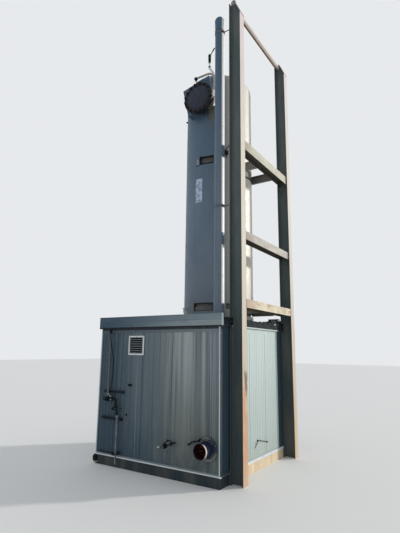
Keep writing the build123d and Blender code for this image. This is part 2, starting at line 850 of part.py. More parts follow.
lever_turn = radians(head_lever_angle)
lever_root = vent_top + Vector(0, 0, head_valve_length - head_lever_drop)
with BuildPart() as head_valve:
    with BuildSketch(Plane(origin=vent_top)):
        RegularPolygon(head_valve_radius, 6)
    extrude(amount=head_valve_length)
    with BuildSketch(Plane(origin=vent_top + Vector(0, 0, head_valve_end))):
        Circle(head_valve_radius + 4)
    extrude(amount=head_valve_length - 2 * head_valve_end)
    with BuildSketch(Plane(origin=lever_root, z_dir=(sin(lever_turn), 0, cos(lever_turn)))):
        Circle(head_lever_radius)
    extrude(amount=head_lever_length)
save(head_valve.part, "head_valve")

# Vent stack: pipe, domed cap, and bands with rods that stay it to the front post
with BuildPart() as vent_stack:
    with BuildSketch(Plane.XY.offset(wall_bottom)):
        with Locations((stack_x, stack_y)):
            Circle(stack_radius)
            Circle(stack_radius - stack_wall, mode=Mode.SUBTRACT)
    extrude(amount=stack_top - wall_bottom)
save(vent_stack.part, "vent_stack")

cap_top = stack_top + stack_cap_height
cap_neck = stack_radius - stack_wall / 2
with BuildPart() as stack_cap:
    with BuildSketch(Plane.XZ):
        with BuildLine():
            Polyline(
                (0, cap_top), (0, stack_top), (cap_neck, stack_top),
                (cap_neck, stack_top + stack_rim_height),
                (stack_radius + stack_rim_height / 2, stack_top + stack_rim_height),
                (stack_radius + stack_rim_height / 2, stack_top + 2 * stack_rim_height),
                (stack_radius, stack_top + 2 * stack_rim_height),
                (stack_cap_radius, cap_top - stack_cap_radius),
            )
            RadiusArc((stack_cap_radius, cap_top - stack_cap_radius), (0, cap_top), -stack_cap_radius)
        make_face()
    revolve(axis=Axis.Z)
save(stack_cap.part.moved(Location((stack_x, stack_y, 0))), "stack_cap")

band_radius = stack_radius + seat_gap + stack_band_thickness
with BuildPart() as stack_stays:
    for level in stack_stay_levels:
        with BuildSketch(Plane.XY.offset(level - stack_band_height / 2)):
            with Locations((stack_x, stack_y)):
                Circle(band_radius)
                Circle(stack_radius + seat_gap, mode=Mode.SUBTRACT)
        extrude(amount=stack_band_height)
        with BuildSketch(Plane.YZ.offset(stack_x + band_radius - 1)):
            with Locations((stack_y, level)):
                Circle(stack_stay_radius)
        extrude(amount=post_inner - stack_x - band_radius + 1)
save(stack_stays.part, "stack_stays")

# Louvre in the front wall
slat_room = louvre_height - 2 * louvre_frame
slat_pitch = slat_room / slat_count
slat_width = slat_pitch / sin(radians(slat_angle)) * 0.92
louvre_middle = louvre_bottom + louvre_height / 2
with BuildPart() as louvre:
    with BuildSketch(Plane.XZ.offset(half_depth)):
        with Locations((louvre_x, louvre_middle)):
            Rectangle(louvre_width, louvre_height)
            Rectangle(louvre_width - 2 * louvre_frame, louvre_height - 2 * louvre_frame, mode=Mode.SUBTRACT)
    extrude(amount=louvre_proud)
    with BuildSketch(Plane.XZ.offset(half_depth)):
        with Locations((louvre_x, louvre_middle)):
            Rectangle(louvre_width - 2 * louvre_frame + 16, louvre_height - 2 * louvre_frame + 16)
            Rectangle(louvre_width - 2 * louvre_frame, louvre_height - 2 * louvre_frame, mode=Mode.SUBTRACT)
    extrude(amount=-wall_thickness)
    for number in range(slat_count):
        slat_z = louvre_bottom + louvre_frame + (number + 0.5) * slat_pitch
        with BuildSketch(Plane.YZ.offset(louvre_x - louvre_width / 2 + louvre_frame)):
            with Locations((front_face + slat_width / 2 * cos(radians(slat_angle)) - 4, slat_z)):
                Rectangle(slat_width, slat_thickness, rotation=slat_angle)
        extrude(amount=louvre_width - 2 * louvre_frame)
save(louvre.part, "louvre")

# Outlet pipe with its round wall plate, low on the front wall
outlet_plane = Plane(origin=(outlet_x, front_face, outlet_z), x_dir=(1, 0, 0), z_dir=(0, -1, 0))
with BuildPart() as outlet_pipe:
    with BuildSketch(outlet_plane.offset(-wall_thickness - outlet_inside)):
        Circle(outlet_radius)
        Circle(outlet_radius - outlet_wall, mode=Mode.SUBTRACT)
    extrude(amount=outlet_reach + wall_thickness + outlet_inside)
save(outlet_pipe.part, "outlet_pipe")

with BuildPart() as outlet_plate:
    with BuildSketch(outlet_plane):
        Circle(collar_radius)
        Circle(outlet_radius + seat_gap, mode=Mode.SUBTRACT)
    extrude(amount=collar_thickness)
    with BuildSketch(outlet_plane):
        Circle(outlet_radius + 14)
        Circle(outlet_radius + seat_gap, mode=Mode.SUBTRACT)
    extrude(amount=26)
save(outlet_plate.part, "outlet_plate")

# Drain pipe and its valve
drain_plane = Plane(origin=(drain_x, front_face, drain_z), x_dir=(1, 0, 0), z_dir=(0, -1, 0))
with BuildPart() as drain_pipe:
    with BuildSketch(drain_plane.offset(-wall_thickness - drain_inside)):
        Circle(drain_radius)
    extrude(amount=wall_thickness + drain_inside + drain_valve_at)
    with BuildSketch(drain_plane.offset(drain_valve_at + drain_valve_length)):
        Circle(drain_radius)
    extrude(amount=drain_reach - drain_valve_at - drain_valve_length)
    with BuildSketch(drain_plane.offset(drain_reach - 26)):
        Circle(drain_radius + 6)
    extrude(amount=26)
save(drain_pipe.part, "drain_pipe")

with BuildPart() as drain_valve:
    with BuildSketch(drain_plane.offset(drain_valve_at)):
        RegularPolygon(drain_valve_radius - 8, 8)
    extrude(amount=drain_valve_length)
    with BuildSketch(drain_plane.offset(drain_valve_at + drain_valve_length / 2 - 14)):
        Circle(drain_valve_radius)
    extrude(amount=28)
    with BuildSketch(Plane(origin=(drain_x, front_face - drain_valve_at - drain_valve_length / 2, drain_z))):
        Circle(9)
    extrude(amount=58)
    lever_plane = Plane(
        origin=(drain_x, front_face - drain_valve_at - drain_valve_length / 2 - 14, drain_z + 52),
        x_dir=(1, 0, 0), z_dir=(0, 1, 0),
    )
    with BuildSketch(lever_plane):
        Rectangle(20, 6)
    extrude(amount=150)
save(drain_valve.part, "drain_valve")

# Strut channels, conduit, regulator and tubing at the left of the front wall
for name, middle, level, length in (
    ("upper_strut", upper_strut_x, upper_strut_z, upper_strut_length),
    ("lower_strut", lower_strut_x, lower_strut_z, lower_strut_length),
):
    with BuildPart() as strut:
        with BuildSketch(Plane.YZ.offset(middle - length / 2)):
            with Locations((front_face - strut_size / 2, level)):
                Rectangle(strut_size, strut_size)
                with Locations((-strut_wall / 2, 0)):
                    Rectangle(strut_size - strut_wall, strut_size - 2 * strut_wall, mode=Mode.SUBTRACT)
                for side in (-1, 1):
                    with Locations((-strut_size / 2 + strut_wall / 2, side * (strut_size / 2 - 5))):
                        Rectangle(strut_wall, 10)
        extrude(amount=length)
    save(strut.part, name)

conduit_y = front_face - strut_size - seat_gap - conduit_radius
with BuildPart() as conduit:
    with BuildSketch(Plane.XY.offset(conduit_bottom)):
        with Locations((conduit_x, conduit_y)):
            Circle(conduit_radius)
    extrude(amount=eave_height - fascia_drop - 10 - conduit_bottom)
save(conduit.part, "conduit")

with BuildPart() as regulator:
    with BuildSketch(Plane.YZ.offset(regulator_x - regulator_length / 2)):
        with Locations((conduit_y, regulator_z)):
            Circle(24)
    extrude(amount=regulator_length)
    with BuildSketch(Plane.YZ.offset(conduit_x - 32)):
        with Locations((conduit_y, regulator_z)):
            Circle(40)
    extrude(amount=64)
    with BuildSketch(Plane.XY.offset(regulator_z)):
        with Locations((conduit_x, conduit_y)):
            Circle(22)
    extrude(amount=conduit_bottom - regulator_z)
save(regulator.part, "regulator")

tubing_y = front_face - strut_size - seat_gap - tubing_radius
tubing_start = Vector(regulator_x + regulator_length / 2, tubing_y, regulator_z)
with BuildPart() as tubing:
    with BuildLine():
        FilletPolyline(
            tubing_start, tubing_start + Vector(32, 0, 0), (tubing_x - 30, tubing_y, 920),
            (tubing_x, tubing_y, 800), (tubing_x, tubing_y, tubing_bottom), radius=36,
        )
    with BuildSketch(Plane(origin=tubing_start, z_dir=(1, 0, 0))):
        Circle(tubing_radius)
    sweep()
save(tubing.part, "tubing")
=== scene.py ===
"""Looks of the gas sweetening skid: finishes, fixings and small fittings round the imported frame."""

import json
import random
from functools import reduce
from math import asin, cos, pi, radians, sin, tan

import bmesh
import bpy
from mathutils import Matrix, Vector


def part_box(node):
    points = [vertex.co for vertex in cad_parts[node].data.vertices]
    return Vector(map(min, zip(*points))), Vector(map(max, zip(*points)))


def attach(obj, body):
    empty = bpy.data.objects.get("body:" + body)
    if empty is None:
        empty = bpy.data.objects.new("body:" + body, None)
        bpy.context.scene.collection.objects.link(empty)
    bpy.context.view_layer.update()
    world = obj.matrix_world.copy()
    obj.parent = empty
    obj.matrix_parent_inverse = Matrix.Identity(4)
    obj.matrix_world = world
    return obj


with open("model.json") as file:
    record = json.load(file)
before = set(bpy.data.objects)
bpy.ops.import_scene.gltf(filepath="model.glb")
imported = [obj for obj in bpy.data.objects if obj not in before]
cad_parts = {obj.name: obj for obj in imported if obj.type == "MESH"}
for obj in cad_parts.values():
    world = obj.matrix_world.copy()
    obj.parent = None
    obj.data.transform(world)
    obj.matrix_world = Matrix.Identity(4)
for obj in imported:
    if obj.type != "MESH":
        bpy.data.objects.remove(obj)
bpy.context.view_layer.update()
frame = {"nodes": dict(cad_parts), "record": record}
random.seed(11)

X = Vector((1, 0, 0))
Y = Vector((0, 1, 0))
Z = Vector((0, 0, 1))


# Places read from the frame

def middle(node):
    """The middle of a node's box."""
    low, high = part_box(node)
    return (low + high) / 2


def foot_of(node):
    """The spot on the ground under the middle of a node."""
    at = middle(node)
    return Vector((at.x, at.y, 0))


def half_width(node):
    """Half of a node's width along X, which is a round node's radius."""
    low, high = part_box(node)
    return (high.x - low.x) / 2


wall_low, wall_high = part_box("front_wall")
front, right, eave = wall_low.y, wall_high.x, wall_high.z
skid_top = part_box("floor_plate")[0].z
roof_low, roof_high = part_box("roof_panel")
fascia_low, fascia_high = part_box("front_fascia")
louvre_low, louvre_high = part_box("louvre")
front_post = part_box("front_post")
rear_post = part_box("rear_post")
posts = (front_post, rear_post)
post_face = front_post[1].x
nose_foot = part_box("nose_plates")[0]
tower, jacket_radius = foot_of("tower_jacket"), half_width("tower_jacket")
jacket_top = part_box("tower_jacket")[1].z
upper_arms, lower_arms = middle("upper_support_arms").z, middle("lower_support_arms").z
stack, stack_radius = foot_of("vent_stack"), half_width("vent_stack")
cover, cover_radius = middle("manway_cover"), half_width("manway_cover")
outlet, outlet_radius = middle("outlet_pipe"), half_width("outlet_pipe")
outlet_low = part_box("outlet_pipe")[0]
conduit, conduit_radius = middle("conduit"), half_width("conduit")
conduit_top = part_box("conduit")[1].z
regulator_low, regulator_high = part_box("regulator")
bonnet = (regulator_low.x + 0.085, middle("regulator").y, regulator_low.z + 0.040)

window_width, window_height, window_turn = 0.393, 0.146, 5
upper_window = middle("upper_support_ring").z + 0.188
lower_window = middle("lower_support_ring").z + 0.044
tubing_radius = 0.012
tubing_x, tubing_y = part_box("tubing")[1].x - tubing_radius, middle("tubing").y
hose_end = 0.80


# Camera, light and floor

CAMERA_PLACE = (4.407, -6.624, 1.880)
CAMERA_YAW, CAMERA_PITCH, CAMERA_ROLL = 33.35, 11.25, 0.69
CAMERA_LENS, CAMERA_SENSOR, CAMERA_REACH = 28.45, 36, 200
SUN_ENERGY, SUN_AZIMUTH, SUN_ELEVATION, SUN_WIDTH = 2.1, 48, 17, 4
SUN_COLOR = (1.0, 0.97, 0.92)
FILL_COLOR, FILL_STRENGTH = (0.92, 0.96, 1.0), 0.60
BACKDROP_COLOR = (0.80, 0.82, 0.84)
FLOOR_COLOR, FLOOR_REACH, FLOOR_DROP = (0.86, 0.86, 0.85, 1), 60, 0.001


def put_camera():
    """The camera where the photograph was taken from."""
    data = bpy.data.cameras.new("camera")
    data.sensor_width, data.lens, data.clip_end = CAMERA_SENSOR, CAMERA_LENS, CAMERA_REACH
    camera = bpy.data.objects.new("camera", data)
    bpy.context.scene.collection.objects.link(camera)
    turns = ((CAMERA_YAW, "Z"), (90 + CAMERA_PITCH, "X"), (CAMERA_ROLL, "Z"))
    yaw, pitch, roll = (Matrix.Rotation(radians(angle), 4, axis) for angle, axis in turns)
    camera.matrix_world = Matrix.Translation(CAMERA_PLACE) @ yaw @ pitch @ roll
    bpy.context.scene.camera = camera


def put_sun():
    """The sun, which shines from its azimuth, from +X towards +Y, and its elevation."""
    data = bpy.data.lights.new("key", "SUN")
    data.energy, data.angle, data.color = SUN_ENERGY, radians(SUN_WIDTH), SUN_COLOR
    lamp = bpy.data.objects.new("key", data)
    azimuth, elevation = radians(SUN_AZIMUTH), radians(SUN_ELEVATION)
    source = Vector((cos(azimuth) * cos(elevation), sin(azimuth) * cos(elevation), sin(elevation)))
    lamp.rotation_euler = source.to_track_quat("Z", "Y").to_euler()
    bpy.context.scene.collection.objects.link(lamp)


def put_world():
    """Even fill light, with one pale background for the camera, for reflections and through glass."""
    world = bpy.data.worlds.new("studio")
    world.use_nodes = True
    nodes, links = world.node_tree.nodes, world.node_tree.links
    fill = nodes["Background"]
    fill.inputs["Color"].default_value = (*FILL_COLOR, 1)
    fill.inputs["Strength"].default_value = FILL_STRENGTH
    backdrop = nodes.new("ShaderNodeBackground")
    backdrop.inputs["Color"].default_value = (*BACKDROP_COLOR, 1)
    rays = nodes.new("ShaderNodeLightPath")
    seen = rays.outputs["Is Camera Ray"]
    for kind in ("Is Glossy Ray", "Is Transmission Ray"):
        either = nodes.new("ShaderNodeMath")
        either.operation = "MAXIMUM"
        links.new(seen, either.inputs[0])
        links.new(rays.outputs[kind], either.inputs[1])
        seen = either.outputs[0]
    mix = nodes.new("ShaderNodeMixShader")
    links.new(seen, mix.inputs["Fac"])
    links.new(fill.outputs[0], mix.inputs[1])
    links.new(backdrop.outputs[0], mix.inputs[2])
    links.new(mix.outputs[0], nodes["World Output"].inputs["Surface"])
    bpy.context.scene.world = world


def put_floor():
    """A wide level floor just under the skid."""
    mesh = bmesh.new()
    signs = ((-1, -1), (1, -1), (1, 1), (-1, 1))
    mesh.faces.new([mesh.verts.new((x * FLOOR_REACH, y * FLOOR_REACH, -FLOOR_DROP)) for x, y in signs])
    data = bpy.data.meshes.new("floor")
    mesh.to_mesh(data)
    mesh.free()
    floor = bpy.data.objects.new("floor", data)
    bpy.context.scene.collection.objects.link(floor)
    shade = Shade("floor")
    shade.shader.inputs["Base Color"].default_value = FLOOR_COLOR
    shade.shader.inputs["Roughness"].default_value = 0.9
    data.materials.append(shade.material)


# Material shorthand

class Shade:
    """One node material under construction: a colour that layers are laid over, and its nodes."""

    def __init__(self, name):
        """Starts the material, with the object's own x, y and z at hand."""
        self.material = bpy.data.materials.new(name)
        self.material.use_nodes = True
        self.tree = self.material.node_tree
        self.shader = self.tree.nodes["Principled BSDF"]
        self.place = self.node("TexCoord").outputs["Object"]
        self.x, self.y, self.z = self.node("SeparateXYZ", self.place).outputs
        self.color = None

    def put(self, socket, value):
        """Links or sets one input."""
        if isinstance(value, bpy.types.NodeSocket):
            self.tree.links.new(value, socket)
        elif isinstance(value, tuple) and len(value) == 3 and socket.type == "RGBA":
            socket.default_value = (*value, 1)
        else:
            socket.default_value = value

    def node(self, kind, *values, **settings):
        """A new node with those settings, its first inputs filled with the values."""
        made = self.tree.nodes.new("ShaderNode" + kind)
        for key, value in settings.items():
            setattr(made, key, value)
        for socket, value in zip(made.inputs, values):
            self.put(socket, value)
        return made

    def maths(self, operation, a, b=0.0, clamp=False):
        """One sum of two values."""
        return self.node("Math", a, b, operation=operation, use_clamp=clamp).outputs[0]

    def times(self, *values):
        """The product of the values."""
        return reduce(lambda a, b: self.maths("MULTIPLY", a, b), values)

    def most(self, *values):
        """The greatest of the values."""
        return reduce(lambda a, b: self.maths("MAXIMUM", a, b), values)

    def noise(self, scale, detail=4.0, stretch=(1, 1, 1), shift=0.0, roughness=0.55):
        """Cloudy noise from 0 to 1; a small stretch draws it out along that axis."""
        placed = self.node("Mapping", self.place)
        placed.inputs["Scale"].default_value = stretch
        placed.inputs["Location"].default_value = (shift, shift * 0.7, shift * 1.3)
        made = self.node("TexNoise", placed.outputs[0])
        for name, value in (("Scale", scale), ("Detail", detail), ("Roughness", roughness)):
            made.inputs[name].default_value = value
        return made.outputs["Fac"]

    def runs(self, across, along, detail, shift=0.0):
        """Noise drawn out into upright runs."""
        return self.noise(1.0, detail, (across, across, along), shift)

    def spangle(self, scale):
        """The grey crystal patches of zinc."""
        cells = self.node("TexVoronoi", self.place)
        cells.inputs["Scale"].default_value = scale
        return self.node("RGBToBW", cells.outputs["Color"]).outputs[0]

    def ramp(self, value, low, high, bottom=0.0, top=1.0):
        """Maps value from low..high to bottom..top, smoothly, held at both ends."""
        made = self.node("MapRange", value, low, high, bottom, top, interpolation_type="SMOOTHSTEP")
        return made.outputs["Result"]

    def fall(self, value, low, high, top=1.0):
        """Maps value from low..high to top..0."""
        return self.ramp(value, low, high, top, 0.0)

    def gap(self, value, centre):
        """How far value is from centre."""
        return self.maths("ABSOLUTE", self.maths("SUBTRACT", value, centre))

    def near(self, value, centre, half, soft):
        """1 within half of centre, fading to 0 over soft."""
        return self.fall(self.gap(value, centre), half, half + soft)

    def reach(self, centre):
        """How far a point lies from that centre, seen from the front."""
        squares = [
            self.maths("POWER", self.maths("SUBTRACT", value, place), 2.0)
            for value, place in ((self.x, centre.x), (self.z, centre.z))
        ]
        return self.maths("SQRT", self.maths("ADD", *squares))

    def mix(self, factor, a, b):
        """The colour a where factor is 0, and b where it is 1."""
        made = self.node("Mix", factor, data_type="RGBA")
        self.put(made.inputs[6], a)
        self.put(made.inputs[7], b)
        return made.outputs[2]

    def clouds(self, dark, light, scale, detail=4, stretch=(1, 1, 1), shift=0.0):
        """A colour that drifts between two."""
        return self.mix(self.noise(scale, detail, stretch, shift), dark, light)

    def lay(self, over, *factors):
        """Lays a colour over the one so far, as much as the product of the factors says."""
        self.color = self.mix(self.times(*factors), self.color, over)

    def edges(self, radius):
        """1 where the surface turns sharply within radius, as at a worn corner."""
        rounded = self.node("Bevel", samples=4)
        rounded.inputs["Radius"].default_value = radius
        flat = self.node("NewGeometry").outputs["Normal"]
        dot = self.node("VectorMath", rounded.outputs[0], flat, operation="DOT_PRODUCT")
        return self.fall(dot.outputs["Value"], 0.72, 0.98)

    def facing(self, axis):
        """How far the face turns to +X, +Y or +Z, as -1 to 1."""
        normal = self.node("NewGeometry").outputs["True Normal"]
        return self.node("SeparateXYZ", normal).outputs[axis]

    def sunny(self):
        """1 on faces turned to +X, where the sun stands."""
        return self.ramp(self.facing("X"), 0.4, 0.6)

    def front_faces(self):
        """1 on faces turned to the skid's front, which take painted shade, and 0 on the others."""
        return self.fall(self.facing("Y"), -0.85, 0.1)

    def underside(self):
        """1 on faces turned down."""
        return self.fall(self.facing("Z"), -0.8, -0.3)

    def sun_side(self, axis, low, high):
        """0 on the shaded side of an upright cylinder and 1 on the side the sun lights."""
        x = self.maths("SUBTRACT", self.x, axis.x)
        y = self.maths("SUBTRACT", self.y, axis.y)
        return self.ramp(self.times(self.maths("ADD", x, y), 0.9), low, high)

    def rust(self):
        """Mottled rust."""
        return self.clouds(RUST_DARK, RUST_LIGHT, 38, 6, shift=3)

    def sheen(self, scale, low, high):
        """A roughness that drifts between two."""
        return self.ramp(self.noise(scale, 4), 0.3, 0.7, low, high)

    def finish(self, roughness, metallic=0.0, height=None, depth=0.001, strength=0.6, specular=0.3):
        """Fills in the shader from the laid colour and gives the material."""
        self.put(self.shader.inputs["Base Color"], self.color)
        self.put(self.shader.inputs["Roughness"], roughness)
        self.shader.inputs["Metallic"].default_value = metallic
        self.shader.inputs["Specular IOR Level"].default_value = specular
        if height is not None:
            bump = self.node("Bump")
            bump.inputs["Strength"].default_value = strength
            bump.inputs["Distance"].default_value = depth
            self.put(bump.inputs["Height"], height)
            self.tree.links.new(bump.outputs[0], self.shader.inputs["Normal"])
        return self.material


# Finishes

RUST_DARK = (0.105, 0.040, 0.020)
RUST_LIGHT = (0.36, 0.145, 0.060)
# colour of the painted shade under the beams and in their channels
BEAM_SHADE = (0.050, 0.042, 0.034)


def beside_post(shade, soft):
    """1 in the nook on the near side of the front post, short of its face by soft, where the post's shadow is
    painted.
    """
    low = front_post[0].y
    return shade.fall(shade.y, low + soft, low + soft + 0.03)


def pocket(shade):
    """1 within the posts' front channels, short of the outer flanges, where their shade is painted."""
    depth = shade.fall(shade.x, post_face - 0.020, post_face - 0.016)
    rows = []
    for low, high in posts:
        quarter = (high.y - low.y) / 4
        rows.append(shade.near(shade.y, low.y + quarter, quarter + 0.001, 0.003))
    return shade.times(depth, shade.most(*rows))


def cladding(name, light, dark, deep, streaks, warm=None):
    """Galvanised ribbed sheet: spangle, long rain streaks, tired panels, dirt above the sill and a painted
    shadow under the eave.
    """
    shade = Shade(name)
    shade.color = shade.mix(shade.ramp(shade.runs(1.35, 0.02, 1, 5.3), 0.36, 0.62), dark, light)
    if warm is not None:
        shade.lay(warm, shade.ramp(shade.x, -0.6, 0.8), shade.ramp(shade.z, 0.2, 1.9, 1.0, 0.1), 0.85)
        lit_panel = shade.ramp(shade.runs(7, 0.1, 2, 12.4), 0.38, 0.58)
        upwards = shade.ramp(shade.z, 0.8, 1.9, 0.15, 0.85)
        shade.lay((0.40, 0.435, 0.44), shade.near(shade.x, 0.78, 0.24, 0.42), lit_panel, upwards)
        leaning = shade.maths("ADD", shade.x, shade.times(shade.z, 0.22))
        shade.lay(deep, shade.fall(leaning, -0.95, 1.20, 0.94))
    for across, along, detail, shift, low, high, over in (
        (6, 0.12, 3, 1.7, 0.42, 0.66, deep),
        (34, 0.5, 4, 8.1, 0.50, 0.72, deep),
        (17, 0.2, 3, 3.9, 0.54, 0.70, light),
    ):
        shade.lay(over, shade.ramp(shade.runs(across, along, detail, shift), low, high, 0.0, streaks))
    spangle = shade.spangle(95)
    shade.lay(light, shade.ramp(spangle, 0.2, 1.0, 0.0, 0.08))
    splash = shade.ramp(shade.noise(7, 5, (1, 1, 0.5)), 0.30, 0.62)
    shade.lay(deep, shade.fall(shade.z, skid_top + 0.02, skid_top + 0.75), splash, 0.5)
    # painted shadow under the fascia along the wall's top
    shade.lay((0.020, 0.026, 0.032), shade.ramp(shade.z, eave - 0.075, eave - 0.045), 0.85)
    dents = shade.maths("ADD", shade.noise(3.2, 2, (1, 1, 0.5)), shade.times(spangle, 0.012))
    return shade.finish(shade.sheen(17, 0.42, 0.60), 0.15, dents, 0.008, 0.30, 0.2)


def side_sheet():
    """The right wall: pale smooth sheet with painted sunlight, paler rib flanks as painted light, and painted
    shadows of the two posts in the nooks beside them.
    """
    shade = Shade("sunlit_side_cladding")
    # the pale tone is painted sunlight on the same sheet as the other walls
    shade.color = shade.mix(shade.ramp(shade.z, 0.3, 2.2), (0.455, 0.53, 0.505), (0.55, 0.635, 0.61))
    shade.lay((0.43, 0.505, 0.485), shade.ramp(shade.runs(5, 0.10, 3, 1.7), 0.38, 0.70, 0.0, 0.35))
    shade.lay((0.40, 0.47, 0.45), shade.ramp(shade.runs(24, 0.25, 3, 8.1), 0.50, 0.74, 0.0, 0.10))
    # painted light: rib flanks turned from the sun are made paler
    flank_light = shade.ramp(shade.maths("ABSOLUTE", shade.facing("Y")), 0.25, 0.75, 0.0, 0.6)
    shade.lay((0.84, 0.92, 0.89), flank_light)
    low = shade.fall(shade.z, skid_top + 0.02, skid_top + 0.45, 0.35)
    shade.lay((0.36, 0.37, 0.31), low, shade.noise(7, 5))
    # painted shadows of the front and rear posts on the wall
    rear = shade.ramp(shade.y, rear_post[0].y - 0.215, rear_post[0].y - 0.165)
    shade.lay((0.014, 0.040, 0.062), shade.most(beside_post(shade, 0.03), rear), 0.96)
    dents = shade.noise(3.2, 2, (1, 1, 0.5))
    return shade.finish(shade.sheen(17, 0.42, 0.58), 0.10, dents, 0.008, 0.25, 0.15)


def fascia_sheet():
    """The fascia: darker to the left, one long crease, a paler wedge to the right, and a black hem at its
    foot that is a painted shadow line.
    """
    shade = Shade("fascia_sheet")
    low = fascia_low.z
    along = shade.ramp(shade.x, fascia_low.x, fascia_high.x * 0.7)
    shade.color = shade.mix(along, (0.040, 0.082, 0.125), (0.20, 0.252, 0.280))
    wedge_line = shade.maths("ADD", shade.times(shade.x, 0.055), low + 0.055)
    below = shade.fall(shade.maths("SUBTRACT", shade.z, wedge_line), -0.004, 0.030)
    shade.lay((0.30, 0.345, 0.36), below, shade.ramp(shade.x, -0.5, 0.9), 0.55)
    shade.lay((0.12, 0.155, 0.18), shade.ramp(shade.runs(3, 14, 4, 2.8), 0.48, 0.72, 0.0, 0.35))
    shade.lay((0.06, 0.085, 0.105), shade.near(shade.z, middle("front_fascia").z + 0.012, 0.002, 0.006), 0.5)
    # painted shadow line along the fascia's foot
    shade.lay((0.006, 0.008, 0.011), shade.fall(shade.z, low + 0.020, low + 0.025), 0.96)
    return shade.finish(shade.sheen(9, 0.40, 0.56), 0.15, shade.noise(3.2, 3), 0.008, 0.3, 0.2)


def trim_metal():
    """Trims: dull, with painted highlights on the flashing's lower lip and the corner folds, painted sunlight
    on the flashing's sunny side, and painted shade under the fascia and beside the front post.
    """
    shade = Shade("trim")
    eave_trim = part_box("eave_trim")[0].z
    # painted highlights on the flashing's lower lip and the corner folds; painted sunlight on the flashing's
    # sunny faces
    lip = shade.near(shade.z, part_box("base_flashing")[0].z + 0.009, 0.007, 0.002)
    across = shade.ramp(shade.maths("ABSOLUTE", shade.facing("Y")), 0.4, 0.6)
    fold = shade.times(shade.ramp(shade.maths("ABSOLUTE", shade.x), right - 0.012, right - 0.009), across)
    lit = shade.times(shade.sunny(), shade.fall(shade.z, skid_top + 0.046, skid_top + 0.050))
    shade.color = shade.clouds((0.155, 0.195, 0.215), (0.225, 0.27, 0.29), 6, 5)
    # painted shadow under the fascia, strongest to the left
    fascia_shadow = shade.ramp(shade.z, eave_trim - 0.004, eave_trim + 0.002)
    shade.lay((0.055, 0.085, 0.105), fascia_shadow, shade.ramp(shade.x, -1.1, 1.2, 0.95, 0.15))
    shade.lay(shade.clouds((0.62, 0.66, 0.68), (0.80, 0.83, 0.84), 9), shade.most(lip, fold, lit))
    # painted shadow of the front post in the nook beside it
    shade.lay((0.012, 0.038, 0.060), beside_post(shade, 0.03), shade.sunny(), 0.96)
    return shade.finish(shade.sheen(12, 0.35, 0.5), 0.15, shade.noise(8, 3), 0.002, 0.3)


def jacket_sheet():
    """Weathered aluminium jacket: painted sunlight on the sun's side, faint runs, stains under the manway."""
    shade = Shade("vessel_jacket")
    patches = shade.ramp(shade.noise(1.1, 3, (1, 1, 0.7)), 0.35, 0.65)
    shade.color = shade.mix(patches, (0.098, 0.146, 0.205), (0.132, 0.182, 0.240))
    shade.lay((0.085, 0.120, 0.165), shade.ramp(shade.runs(12, 0.2, 4, 2.2), 0.50, 0.76, 0.0, 0.30))
    shade.lay((0.205, 0.228, 0.255), shade.fall(shade.z, 2.4, 4.6, 0.35))
    shade.lay((0.058, 0.108, 0.168), shade.ramp(shade.z, 4.6, 6.8, 0.0, 0.85))
    # painted sunlight: a warm grey half-light, then pale sheet on the sun's side
    shade.lay((0.27, 0.27, 0.255), shade.sun_side(tower, -0.30, 0.06))
    painted_sunlight = shade.clouds((0.62, 0.595, 0.52), (0.72, 0.695, 0.625), 5, 4, (1, 1, 0.3))
    shade.lay(painted_sunlight, shade.sun_side(tower, -0.06, 0.32))
    shade.lay((0.20, 0.21, 0.21), shade.ramp(shade.noise(5.5, 5, shift=7.4), 0.62, 0.80, 0.0, 0.25))
    in_front = shade.fall(shade.y, tower.y - 0.45, tower.y - 0.25)
    ragged = shade.ramp(shade.noise(7, 5, (1, 1, 0.25), 4.4), 0.34, 0.62)
    for x, z, half, drop, stain, amount in (
        (0.02, cover.z - 0.26, 0.10, 0.26, (0.018, 0.018, 0.022), 0.95),
        (0.24, cover.z - 0.20, 0.07, 0.60, (0.120, 0.115, 0.070), 0.9),
        (-0.04, lower_window - 0.076, 0.20, 0.14, (0.13, 0.115, 0.095), 0.6),
    ):
        across = shade.near(shade.x, tower.x + x, half, 0.08)
        down = shade.times(shade.ramp(shade.z, z - drop, z), shade.fall(shade.z, z + 0.14, z + 0.24))
        shade.lay(stain, in_front, across, down, ragged, amount)
    left_edge = shade.near(shade.x, tower.x - 0.56, 0.07, 0.08)
    shade.lay((0.17, 0.13, 0.10), left_edge, shade.fall(shade.z, 2.5, 3.3, 0.6))
    return shade.finish(shade.sheen(11, 0.42, 0.58), 0.10, shade.noise(2.6, 3), 0.012, 0.35)


def stack_sheet(name, metallic, rough):
    """The vent stack: blue-grey with faint runs, and painted sunlight on its sun side, broken by painted
    shadows of the three beams.
    """
    shade = Shade(name)
    shade.color = shade.clouds((0.100, 0.140, 0.195), (0.150, 0.190, 0.240), 1.6, 4, (1, 1, 0.3))
    shade.lay((0.075, 0.105, 0.145), shade.ramp(shade.runs(30, 0.5, 4, 2.2), 0.48, 0.72, 0.0, 0.4))
    shade.lay((0.048, 0.095, 0.155), shade.ramp(shade.z, 4.2, 7.2, 0.0, 0.85))
    # painted sunlight on the sun side, left out in bands as painted shadows of the beams
    pale = shade.clouds((0.80, 0.81, 0.79), (0.90, 0.91, 0.90), 6, 4, (1, 1, 0.4))
    beyond_shadows = [shade.ramp(shade.z, 2.58, 2.62)]
    for level, half, soft in ((5.17, 0.095, 0.02), (3.65, 0.090, 0.03)):
        beyond_shadows.append(shade.ramp(shade.gap(shade.z, level), half, half + soft))
    shade.lay(pale, shade.sun_side(stack, 0.007, 0.034), *beyond_shadows)
    return shade.finish(shade.sheen(14, *rough), metallic, shade.noise(9, 4), 0.003, 0.35)


